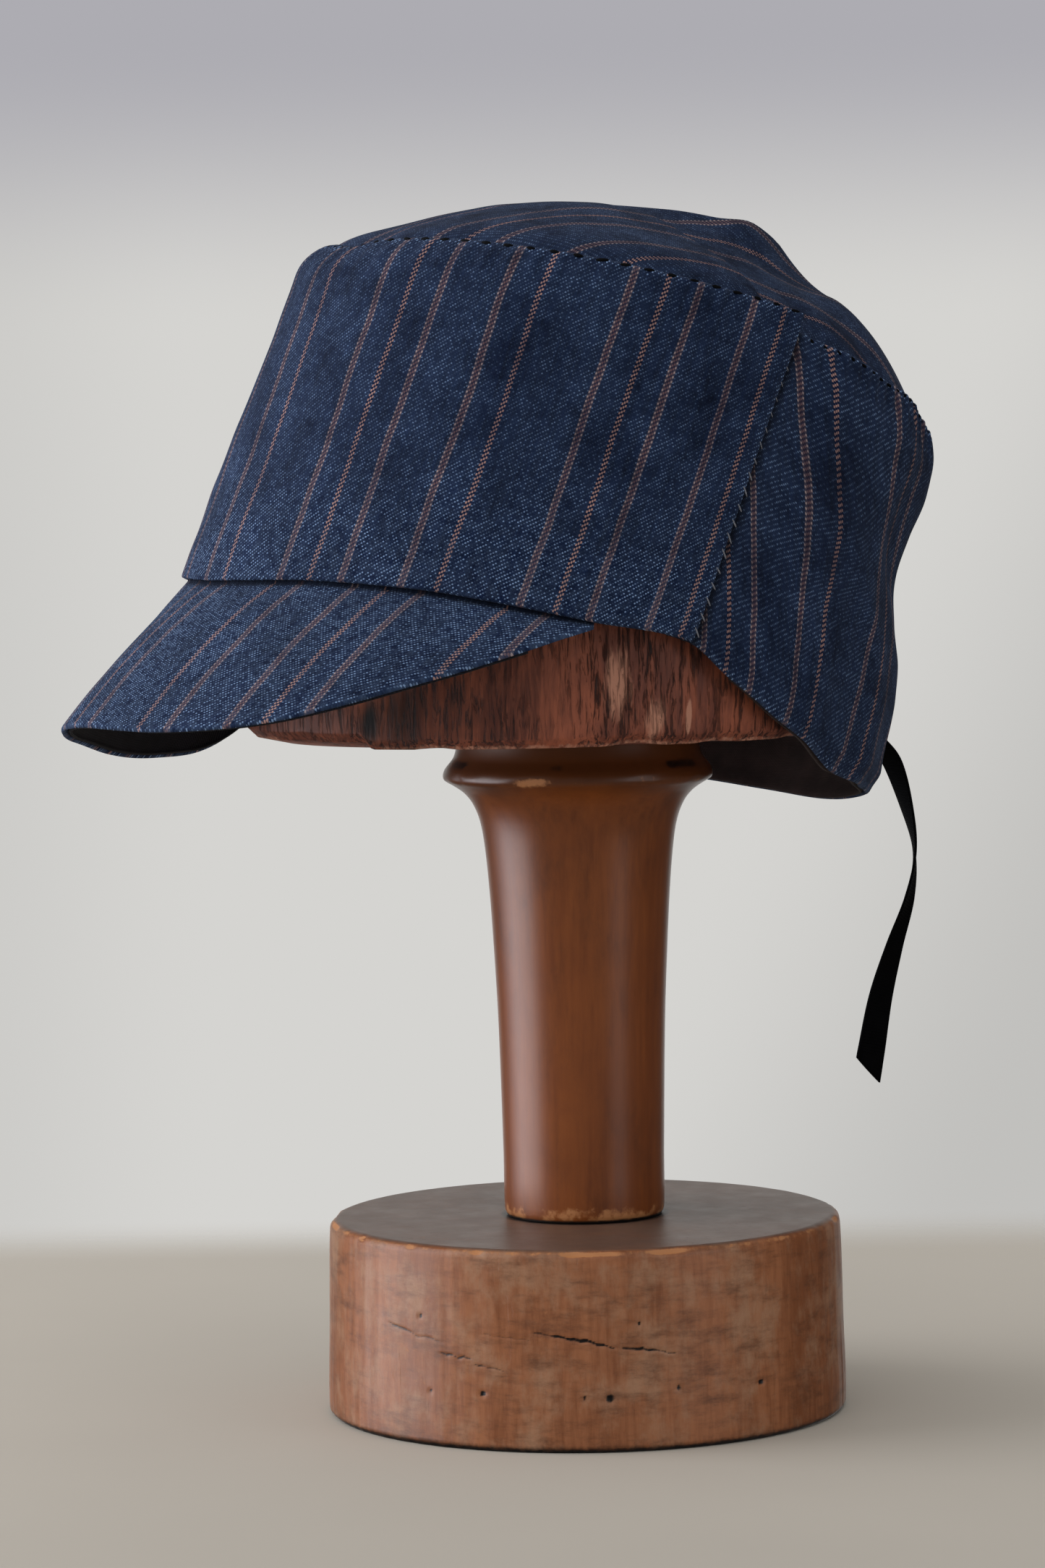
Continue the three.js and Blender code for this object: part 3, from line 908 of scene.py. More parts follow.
class FIELDCAP_OT_camera(bpy.types.Operator):
    """Places the camera at the picture's viewing angle"""

    bl_idname = "fieldcap.camera"
    bl_label = "Camera"

    PIXELS = (1445, 2168)
    FOCAL = 6988  # pixels
    HORIZON = 670
    AXIS = 799.3  # column of the stand's axis
    ROLL = 0.9

    def execute(self, context):
        stage = context.scene.fieldcap_stage
        width, height = self.PIXELS
        pitch = math.atan((height / 2 - self.HORIZON) / self.FOCAL)
        yaw = math.atan((self.AXIS - width / 2) / self.FOCAL)
        turn = stage.camera_turn
        back = Vector((math.sin(turn), -math.cos(turn), 0))
        up = Vector((0, 0, 1))
        behind = back * math.cos(pitch) + up * math.sin(pitch)
        data = bpy.data.cameras.new("Camera")
        data.sensor_width = 36
        data.lens = self.FOCAL * data.sensor_width / height
        camera = linked("Camera", data)
        level = behind.to_track_quat("Z", "Y").to_matrix().to_4x4()
        aim = Matrix.Rotation(yaw, 4, "Y") @ Matrix.Rotation(-math.radians(self.ROLL), 4, "Z")
        place = Matrix.Translation(back * stage.camera_distance + up * stage.camera_height)
        camera.matrix_world = place @ level @ aim
        context.scene.camera = camera
        return {"FINISHED"}


class FIELDCAP_OT_ribbon(bpy.types.Operator):
    """Hangs the ribbed tie from the nape"""

    bl_idname = "fieldcap.ribbon"
    bl_label = "Ribbon tie"

    def execute(self, context):
        cap = context.scene.fieldcap_cap
        sewn = [wall(180, rise, -SEAM_GAP - TIE_THICK / 2 - 0.1) for rise in TIE_SEWN]
        rows = [(p.y, p.z, 0) for p in sewn] + list(TIE_PATH)
        path = Table("place y z twist", *((i, *row) for i, row in enumerate(rows)))
        last = len(rows) - 1
        half = TIE_WIDTH / 2
        places = spread(0, last, 110)

        def middle(place):
            return Vector((0, path.read("y", place), path.read("z", place)))

        def point(side, place):
            along = (middle(min(place + 0.05, last)) - middle(max(place - 0.05, 0))).normalized()
            twist = path.read("twist", place)
            across = Vector((cosine(twist), sine(twist), 0))
            across = (across - along * across.dot(along)).normalized()
            bow = 0.25 * (1 - (side / half) ** 2) * smoothstep(place, 1.5, 3)
            slant = TIE_CUT / 2 * side / half * smoothstep(place, last - 1, last)
            return middle(place) + across * side + along * slant + along.cross(across) * bow

        line = [middle(place) for place in places]
        lengths = running(line)

        def layers(side, place, i, j):
            return (side, lengths[j]), 0, 0

        sides = spread(-half, half, 12)
        bm = grid(sides, places, placed(sides, places, point), layers)
        piece = thicken(finished("ribbon", bm, ribbed(cap)), 0.0007, 0.0)
        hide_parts("ribbon_tie")
        return {"FINISHED"}


class FIELDCAP_OT_panels(bpy.types.Operator):
    """Sews the crown from its front, back and top panels"""

    bl_idname = "fieldcap.panels"
    bl_label = "Crown panels"

    EDGE = 1.1  # radius of a turned edge
    STRAIGHT = 0.86  # above this rise the stripes run on straight into the top seam
    FRONT_SHIFT = -29.7
    FRONT_LEAN = 3.8
    BACK_SHIFT = -5.9
    BACK_LEAN = 44
    BACK_SWAY = 8
    TOP_SHIFT = -26.7
    TOP_BEND = 3.9e-5
    TOP_DRAPE = (0.35, 330)  # cloth taken up by the fall of the top below a height
    TOP_WEAR = -0.1
    RIM_DEGREE = 1.42  # millimetres to a degree of turn at the top seam
    SIDE_DEGREE = 1.5  # and at the side seams
    FRONT_RISE = 92  # lengths of cloth from hem to top seam
    BACK_RISE = 96
    STITCHES = (5.5, 4.2)  # millimetres between stitches over the front and over the back
    PUCKER = (0.4, 0.86)  # depth at the top seam, and the rise where it starts
    UNFADED = (0.28, 0.42)  # painted shade on the back as wear below zero: how much low down, and what height adds

    def pucker(self, turn, rise, pitch):
        """The cloth is drawn in at each stitch of the top seam."""
        depth, start = self.PUCKER
        wave = math.cos(turn * self.RIM_DEGREE * 2 * math.pi / pitch)
        wave += 1.4 * uneven(turn * 0.22, rise * 3, pitch)
        return depth * wave * smoothstep(rise, start, 1)

    def from_edge(self, rise):
        return min(rise, 1 - rise) * WALL_HEIGHT

    def row_lengths(self, points, rises):
        """How far along its row each point lies; past STRAIGHT all rows keep the same lengths."""
        lengths = [running(row) for row in zip(*points)]
        last = sum(rise < self.STRAIGHT for rise in rises)
        return lengths[:last] + lengths[last : last + 1] * (len(rises) - last)

    def front(self, cap):
        cloth = cap.cloth / MM
        turns = fine_ends(-SIDE_SEAM, SIDE_SEAM, 270, 1.2)
        rises = fine_ends(0, 1, 88, 0.018)
        start = min(range(len(turns)), key=lambda i: abs(turns[i]))

        def place(turn, rise):
            inward = roll(self.from_edge(rise), self.EDGE)
            inward += roll((SIDE_SEAM - abs(turn)) * self.SIDE_DEGREE, self.EDGE)
            inward += self.pucker(turn, rise, self.STITCHES[0])
            return wall(turn, rise, min(inward, cloth))

        points = placed(turns, rises, place)
        lengths = self.row_lengths(points, rises)

        def layers(turn, rise, i, j):
            along = lengths[j][i] - lengths[j][start]
            flat = (along + self.FRONT_LEAN * rise + self.FRONT_SHIFT, rise * self.FRONT_RISE)
            near = min(self.from_edge(rise), (SIDE_SEAM - abs(turn)) * self.SIDE_DEGREE)
            rubbed = 0.4 * fading(rise, 0, 0.5)
            return flat, max(0.5 * edge_wear(near), rubbed), 0

        bm = grid(turns, rises, points, layers)
        piece = thicken(finished("front", bm, denim(cap)), cap.cloth)
        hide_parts("front_panel")
        return piece

    def back(self, cap):
        cloth = cap.cloth / MM
        from_turn = SIDE_SEAM - SEAM_LAP
        turns = spread(from_turn, 360 - from_turn, 280)
        rises = fine_ends(0, 1, 92, 0.018)

        def place(turn, rise):
            share = 1 - seam_step(turn) / WALL_HEIGHT
            inward = roll(self.from_edge(rise), self.EDGE)
            inward = min(inward + self.pucker(turn, rise, self.STITCHES[1]), cloth)
            return wall(turn, rise * share, underlap(turn, cloth) + inward)

        points = placed(turns, rises, place)
        lengths = self.row_lengths(points, rises)

        def layers(turn, rise, i, j):
            along = lengths[j][i]
            lean = self.BACK_LEAN * rise * (1 - 2 * along / lengths[j][-1])
            sway = smoothstep(half_turn(turn), 92, 120) * hump(rise, 0.57, 0.3)
            sway *= -self.BACK_SWAY if turn < 180 else self.BACK_SWAY
            first = self.BACK_SHIFT - SEAM_LAP * self.SIDE_DEGREE
            # Next to the side seam the back is darkened: a painted shadow of the front panel's
            # edge.
            tuck = fading(half_turn(turn) - SIDE_SEAM, 0.2, 2.2)
            # The back, turned from the light, gets painted shade: its wear goes below zero, which
            # darkens the cloth.
            low, higher = self.UNFADED
            unfaded = low + higher * smoothstep(rise, 0.35, 0.75)
            unfaded *= smoothstep(half_turn(turn), SIDE_SEAM, 105)
            worn = max(0.6 * edge_wear(self.from_edge(rise)), -unfaded)
            flat = (along + lean + sway + first, rise * self.BACK_RISE)
            return flat, worn, 0.8 * tuck

        bm = grid(turns, rises, points, layers)
        piece = thicken(finished("back", bm, denim(cap)), cap.cloth)
        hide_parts("back_panel")
        return piece

    def crown(self, cap):
        cloth = cap.cloth / MM
        turns = spread(0, 360, 360)
        outs = [0.0, 0.04] + spread(0.08, 0.84, 52) + spread(0.852, 1, 30)
        points = placed(turns, outs, lambda turn, out: top(turn % 360, out, cloth))

        def layers(turn, out, i, j):
            x, y, z = points[i][j]
            across = x * (1 + self.TOP_BEND * x * x) + self.TOP_SHIFT
            along = y + self.TOP_DRAPE[0] * (self.TOP_DRAPE[1] - z)
            # The top's rim darkens into the seam: painted shade in the seam's groove.
            return (across, along), self.TOP_WEAR, 0.35 * smoothstep(out, 0.975, 1)

        bm = grid(turns, outs, points, layers, flip=True)
        weld(bm)
        piece = thicken(finished("top", bm, denim(cap)), cap.cloth)
        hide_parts("crown_top")
        return piece

    def execute(self, context):
        cap = context.scene.fieldcap_cap
        for make in (self.front, self.back, self.crown):
            make(cap)
        return {"FINISHED"}


class FIELDCAP_OT_peak(bpy.types.Operator):
    """Makes the drooping peak and the dark cloth under it"""

    bl_idname = "fieldcap.peak"
    bl_label = "Peak"

    EDGE = 1.0  # radius of the turned edge
    ROOT = 5  # length sewn up inside the front panel
    SHY = 1.5  # how far the lining stays back from the edge
    STRIPES_FROM = (17.6, 44.6)  # a turn, and the place on the cloth that lies there
    STRIPES_DEGREE = 1.62  # millimetres of cloth to a degree of turn at the root
    STRIPES_FAN = (20, 0.0035)  # turn where the stripes run straight out, and how they fan

    def layers(self, turn, run, i, j):
        reach = PEAK.read("reach", turn)
        length = max(run, 0) * reach
        straight, fan = self.STRIPES_FAN
        level = turn + (turn - straight) * fan * length
        at, place = self.STRIPES_FROM
        edge = (1 - run) * reach
        worn = max(fading(edge, 0.3, 2.4), 0.45) if run > 0 else 0
        # The cloth at the peak's root, under the front panel's hem, is darkened: a painted shadow.
        dark = 0.55 * fading(length, 0.2, 1.6)
        return (place - self.STRIPES_DEGREE * (level - at), length), worn, dark

    def sheet(self, name, end, top_at, thick, shy, finish, cloth):
        runs = [-1, -0.5, 0] + [k * 0.01 for k in (0.6, 1.5, 3)] + spread(0.05, 0.94, 52)
        runs += [0.955, 0.968, 0.98, 0.99, 0.996, 1]

        def place(turn, run):
            full = PEAK.read("reach", turn)
            reach = self.ROOT if run < 0 else max(full - shy, full / 2)
            sunk = roll((1 - run) * reach, self.EDGE) if run > 0 else 0
            return peak(turn, run * reach, top_at + min(sunk, thick), cloth)

        turns = spread(-end, end, 220)
        bm = grid(turns, runs, placed(turns, runs, place), self.layers, flip=True)
        return thicken(finished(name, bm, finish), thick * MM)

    def execute(self, context):
        cap = context.scene.fieldcap_cap
        cloth, upper, under = cap.cloth / MM, cap.peak_cloth / MM, cap.lining / MM
        piece = self.sheet("peak_top", PEAK_END, 0, upper, 0, denim(cap), cloth)
        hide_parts("peak")
        finish = lining_cloth("Dark lining", cap.under_peak)
        below = upper + SEAM_GAP
        piece = self.sheet("peak_under", PEAK_LINING_END, below, under, self.SHY, finish, cloth)
        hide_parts("peak_lining")
        return {"FINISHED"}


class FIELDCAP_OT_lining(bpy.types.Operator):
    """Lines the back of the crown"""

    bl_idname = "fieldcap.lining"
    bl_label = "Back lining"

    RISE = 96  # length of cloth from hem to top seam
    HEM = 0.004  # rise of the lining's lower edge
    CLEAR = 0.4  # kept clear of the back panel for the creases
    CREASE = 0.35

    def execute(self, context):
        cap = context.scene.fieldcap_cap
        cloth = cap.cloth / MM
        clear, high = BACK_LINING
        turns = spread(SIDE_SEAM + clear, 360 - SIDE_SEAM - clear, 170)
        rises = spread(self.HEM, high, 46)

        def place(turn, rise):
            crease = self.CREASE * uneven(turn * 0.09, rise * 7, 4.4)
            return wall(turn, rise, underlap(turn, cloth) + cloth + SEAM_GAP + self.CLEAR + crease)

        def layers(turn, rise, i, j):
            return (turn, rise * self.RISE), 0, 0

        bm = grid(turns, rises, placed(turns, rises, place), layers)
        finish = lining_cloth("Brown lining", cap.inside)
        piece = thicken(finished("back_inside", bm, finish), cap.lining)
        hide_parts("back_lining")
        return {"FINISHED"}


class FIELDCAP_OT_stitches(bpy.types.Operator):
    """Sets the hand stitches of the top seam and the side seams"""

    bl_idname = "fieldcap.stitches"
    bl_label = "Stitches"

    TOP_PITCH = 3.87  # degrees between stitches over the front
    BACK_PITCH = 3.0
    TOP_LENGTH = 2.9
    BACK_LENGTH = 2.0
    TOP_WIDTH = 1.2
    TOP_HEIGHT = 0.8
    TOP_SINK = 0.4
    HIDDEN = (-8, 34, 0.6)  # where the front's stitches are smaller: turn, reach and share
    SIDE_COUNT = 20
    SIDE_RISES = (0.025, 0.94)  # rise of the lowest stitch, and how far they reach up
    SIDE_WIDTH = 0.48
    SIDE_HEIGHT = 0.5

    def stitch(self, bm, middle, along, lift, length, width, height):
        side = lift.cross(along).normalized()
        lift = along.cross(side).normalized()
        axes = Matrix((side * width / 2, lift * height / 2, along.normalized() * length / 2))
        matrix = Matrix.Translation(middle) @ axes.transposed().to_4x4()
        bmesh.ops.create_uvsphere(bm, u_segments=8, v_segments=5, radius=1, matrix=matrix)

    def rim(self, bm, start, end, pitch, cloth, length, rise_at):
        count = round((end - start) / pitch)
        for k in range(count):
            turn = start + (k + 0.5) * (end - start) / count
            rise, inward = rise_at, self.TOP_SINK
            if half_turn(turn) > SIDE_SEAM:
                rise -= seam_step(turn) / WALL_HEIGHT
                inward += underlap(turn, cloth)
            middle = wall(turn, rise, inward)
            along = wall(turn + 1, rise, inward) - wall(turn - 1, rise, inward)
            wobble = uneven(turn * 0.7, 3.3, 1.1)
            along = along.normalized() + Vector((0, 0, 0.3 * wobble))
            lift = outward(turn) + Vector((0, 0, 1.2))
            at, reach, sunk = self.HIDDEN
            show = 1 - sunk * hump(turn, at, reach)
            long = length * (1 + 0.35 * wobble) * show
            width, height = self.TOP_WIDTH * show, self.TOP_HEIGHT * show
            self.stitch(bm, middle, along, lift, long, width, height)

    def execute(self, context):
        cap = context.scene.fieldcap_cap
        cloth = cap.cloth / MM
        dark = thread("Dark thread", cap.dark_thread)
        bm = bmesh.new()
        self.rim(bm, -SIDE_SEAM, SIDE_SEAM, self.TOP_PITCH, cloth, self.TOP_LENGTH, 0.996)
        ends = SIDE_SEAM + 2, 358 - SIDE_SEAM
        self.rim(bm, *ends, self.BACK_PITCH, cloth, self.BACK_LENGTH, 0.99)
        finished("top_stitches", bm, dark)
        bm = bmesh.new()
        for edge in (SIDE_SEAM, -SIDE_SEAM):
            way = 1 if edge > 0 else -1
            for k in range(self.SIDE_COUNT):
                rise = self.SIDE_RISES[0] + self.SIDE_RISES[1] * k / self.SIDE_COUNT
                wobble = uneven(k * 1.7, edge, 0.5)
                start = wall(edge - way * 0.9, rise + 0.014 + 0.008 * wobble, 0.05)
                end = wall(edge + way * 0.75, rise - 0.004, cloth - 0.1)
                middle = (start + end) / 2 + outward(edge) * 0.35
                along = end - start
                lift = outward(edge)
                full = 1 - 0.45 * smoothstep(rise, 0.4, 0.7)
                long = (along.length + wobble) * full
                width = self.SIDE_WIDTH * full
                self.stitch(bm, middle, along, lift, long, width, self.SIDE_HEIGHT)
        pale = thread("Pale thread", cap.pale_thread)
        finished("side_stitches", bm, pale)
        return {"FINISHED"}


class FIELDCAP_OT_stand(bpy.types.Operator):
    """Turns the stand: block, stem and base"""

    bl_idname = "fieldcap.stand"
    bl_label = "Wooden stand"

    # Cracks round the base: from and to turn, from and to height, depth.
    CRACKS = (
        (11, 20.2, 31.9, 29.3, 0.4),
        (20, 26.4, 29.4, 28.3, 0.3),
        (26, 33.4, 25.5, 24.4, 0.4),
        (34.4, 41.4, 23.1, 22, 0.35),
        (36.2, 46.8, 31.5, 30.3, 0.2),
        (47.6, 52.4, 32.4, 31.2, 0.35),
        (51.6, 65, 31.4, 28.4, 0.6),
        (66.2, 74, 28, 27.1, 0.5),
        (73.6, 78.4, 27.2, 25.7, 0.35),
        (150, 176, 22, 26, 0.4),
        (208, 231, 33, 30, 0.5),
        (286, 305, 27.5, 25, 0.4),
    )
    # Nail holes in the base: turn, height and radius.
    HOLES = (
        (36.1, 15.5, 0.9),
        (23.1, 15, 0.5),
        (63.8, 14.7, 1.35),
        (58.5, 14.9, 0.5),
        (78.8, 16.6, 0.8),
        (99.5, 15.6, 0.8),
        (20.3, 34.9, 0.6),
        (70.2, 34.4, 0.6),
        (165, 15.5, 1),
        (220, 17, 0.8),
        (262, 16, 1.2),
        (318, 17.5, 0.8),
    )

    SIDE = 66  # past this radius a vertex belongs to the side of the base
    RIM = (70.6, 53.4)  # radius and height of the base's upper edge

    def turned(self, outline, steps, shape):
        """Spins an outline of (radius, z), then moves each vertex by shape(turn, radius, z)."""
        bm = bmesh.new()
        wear = bm.verts.layers.float.new("wear")
        dirt = bm.verts.layers.float.new("dirt")
        verts = [bm.verts.new((radius, 0, z)) for radius, z in outline]
        edges = [bm.edges.new(pair) for pair in zip(verts, verts[1:])]
        bmesh.ops.spin(
            bm, geom=verts + edges, cent=(0, 0, 0), axis=(0, 0, 1), dvec=(0, 0, 0),
            angle=2 * math.pi, steps=steps, use_merge=True,
        )
        weld(bm)
        bmesh.ops.recalc_face_normals(bm, faces=bm.faces)
        for vert in bm.verts:
            radius = math.hypot(vert.co.x, vert.co.y)
            turn = math.degrees(math.atan2(vert.co.x, -vert.co.y)) % 360
            inward, down, vert[wear], vert[dirt] = shape(turn, radius, vert.co.z)
            if radius > 0.01:
                vert.co.xy *= (radius - inward) / radius
            vert.co.z -= down
        return bm

    def base_shape(self, turn, radius, z):
        inward, down, wear, dirt = 0.0, 0.0, 0.0, 0.0
        place = Vector((radius * sine(turn), -radius * cosine(turn), z))
        grit = noise.noise(place * 0.35)
        slow = noise.noise(place * 0.06 + Vector((5, 2, 7)))
        side = radius > self.SIDE
        if side:
            inward += 0.12 * uneven(turn * 0.5, z * 0.03, 2.5)
        if 1 < z < 53 and side:
            for start, end, low, high, depth in self.CRACKS:
                share = (turn - start) / (end - start)
                if 0 <= share <= 1:
                    line = low + (high - low) * share
                    line += 0.7 * uneven(turn * 0.6, low, 0)
                    width = depth * math.sqrt(max(math.sin(math.pi * share), 0))
                    width *= 0.7 + 0.6 * grit
                    cut = fading(abs(z - line), width * 0.4, width + 0.4)
                    inward += 0.6 * depth * cut
                    dirt = max(dirt, (0.35 + 0.8 * depth) * cut)
            for at, level, hole in self.HOLES:
                gap = math.hypot((turn - at) * 1.25, z - level)
                if gap < hole + 1:
                    cut = fading(gap, hole * 0.5, hole + 0.3)
                    inward += 0.5 * cut
                    dirt = max(dirt, 0.9 * cut)
        rim = math.hypot(max(0, self.RIM[0] - radius) if z > 53 else 0, max(0, self.RIM[1] - z))
        if z > 40:
            chip = max(0, uneven(turn * 0.16, 6.1, 0.4) - 0.12) * 3
            near = fading(rim, 0.1, 1.5)
            inward += 0.4 * chip * near if side else 0
            down += 0.3 * chip * near
            wear = near * (0.35 + 0.8 * chip)
        # A painted contact shadow darkens the side of the base down at the floor.
        if z < 4 and side:
            dirt = max(dirt, 0.75 * fading(z, 0.3, 3.2))
            dirt = max(dirt, 0.34 * fading(z, 2, 10))
        wear = max(wear, 0.22 * smoothstep(slow, 0.2, 0.5))
        # The top is darker in a ring round the stem's foot.
        if z > 53.5 and radius < 26:
            dirt = max(dirt, 0.8 * fading(radius, 22.3, 24.5))
        return inward, down, wear, dirt

    def stem_shape(self, turn, radius, z):
        grit = uneven(turn * 0.1, z * 0.25, 1.2)
        lip = fading(abs(z - 176.4), 0.4, 2.2)
        chip = max(0, uneven(turn * 0.07, z * 0.2, 7.4) - 0.1) * 2.5
        foot = fading(z, 55, 61)
        wear = max(0.5 * lip * chip, 0.75 * foot * (0.7 + 0.8 * grit))
        # The stem is darker at its foot and just under the block.
        dirt = max(0.9 * fading(z, 54.2, 55.6), 0.8 * smoothstep(z, 184.5, 187.8))
        burnt = uneven(turn * 0.05, 9.3, 0)
        spot = hump(z, 180.3, 2.2) * smoothstep(burnt, 0.12, 0.35)
        dirt = max(dirt, 0.85 * spot)
        return 0.35 * lip * chip, 0.0, wear, dirt

    def base(self, stand):
        heights = [0.0, 0.4, 0.9, 1.5] + spread(2.2, 20, 26) + spread(20.35, 34, 39)
        heights += spread(34.6, 51.5, 26) + spread(51.9, BASE_TOP, 8)
        outline = [(0.0, 0.0), (40.0, 0.0)] + [(BASE.read("radius", z), z) for z in heights]
        outline += [(r, BASE_TOP) for r in spread(68, 20, 30)] + [(0.0, BASE_TOP)]
        bm = self.turned(outline, 512, self.base_shape)
        looks = {
            "streaks": 0.1, "streak_scale": 0.3, "streak_from": 0.6, "grain": 0.12,
            "stain": 0.8, "stain_scale": 0.07, "stain_tone": stand.base_grey, "stain_stretch": 0.7,
            "smears": 0.8, "rough_spread": 0.25, "relief": 0.0001, "coat": 0.28, "coat_rough": 0.34,
            "upper": stand.base_top, "upper_from": (53.3, 54.1), "upper_share": 0.9, "ragged": 0.1,
            "bare": stand.bare,
        }
        tones = stand.base_light, stand.base_dark, stand.base_smear
        piece = finished("base", bm, wood("Base wood", stand, *tones, 0.32, **looks))
        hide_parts("stand_base")

    def stem(self, stand):
        heights = [BASE_TOP + k for k in (0, 0.3, 0.8, 1.4, 2)]
        heights += spread(57.5, 164, 60) + spread(165, STEM_TOP, 46)
        outline = [(0.0, BASE_TOP)] + [(STEM.read("radius", z), z) for z in heights]
        outline += [(0.0, STEM_TOP)]
        bm = self.turned(outline, 192, self.stem_shape)
        looks = {
            "streaks": 0.15, "streak_scale": 0.28, "streak_from": 0.64, "stain": 0.6,
            "smears": 0.4, "smear_stretch": 0.4, "rough_spread": 0.16, "relief": 0.00003,
            "coat": 1.0, "coat_rough": 0.36, "specular": 0.15, "upper": stand.collar,
            "upper_from": (170, 179), "upper_share": 0.85, "ragged": 1.0, "bare": stand.bare,
        }
        tones = stand.stem_light, stand.stem_dark, stand.block_streak
        piece = finished("stem", bm, wood("Stem wood", stand, *tones, 0.27, **looks))
        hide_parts("stand_stem")

    def block(self, stand):
        under = [(STEM_TOP, share) for share in (0.0, 0.3, 0.6, 0.9)]
        sides = spread(STEM_TOP, 190.8, 8) + spread(191.6, 236, 56) + spread(240, 331, 30)
        rows = under + [(z, 1.0) for z in sides] + [(BLOCK_TOP, 0.5), (BLOCK_TOP, 0.0)]

        def place(turn, row):
            z, share = row
            length, width = BLOCK.read("length", z) * share, BLOCK.read("width", z) * share
            point = oval((length, width, BLOCK.read("middle", z)), turn, z)
            if 189 < z < 240:
                groove = uneven(turn * 0.9, z * 0.05, 1.5)
                point -= outward(turn) * (0.25 * max(0, groove - 0.25) + 0.1 * groove)
            low = fading(z, 189, 196)
            chip = max(0, uneven(turn * 0.11, 4.7, 1.9) - 0.05)
            step = 1.8 * fading(half_turn(turn + 8), 34, 36) * low if share == 1 else 0
            point.z += (1.2 * chip * low + step) if share == 1 else 0
            return point

        def layers(turn, row, i, j):
            z, share = row
            edge = fading(z, 188.3, 189.8)
            pale = hump(turn, 74, 5) * hump(z, 204, 18)
            pale += 0.8 * hump(turn, 81, 5) * hump(z, 195, 12)
            scratch = fading(abs(turn - 87.5), 0.2, 0.6) * hump(z, 195, 8)
            wear = max(0.5 * edge * smoothstep(turn, 26, 32), 0.75 * pale, 1.6 * scratch)
            # The block is darkened low down under the peak: painted shade.
            dark = 0.75 * hump(turn, 28.5, 5) * hump(z, 195, 14)
            dark = max(dark, 0.6 * hump(turn, 35, 11) * hump(z, 196, 26))
            return (turn, z), wear if share == 1 else 0, dark

        turns = spread(0, 360, 420)
        points = placed(turns, rows, lambda turn, row: place(turn % 360, row))
        bm = grid(turns, rows, points, layers)
        weld(bm)
        looks = {
            "streaks": 1.0, "streak_scale": 0.85, "streak_from": 0.5, "grain": 0.12,
            "stain": 0.5, "stain_scale": 0.05, "rough_spread": 0.3, "relief": 0.0005, "coat": 0.05,
            "bare": stand.block_bare, "rub": 0.12,
        }
        tones = stand.block_light, stand.block_dark, stand.block_streak
        piece = finished("block", bm, wood("Block wood", stand, *tones, 0.42, **looks))
        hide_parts("hat_block")

    def execute(self, context):
        for make in (self.base, self.stem, self.block):
            make(context.scene.fieldcap_stand)
        return {"FINISHED"}


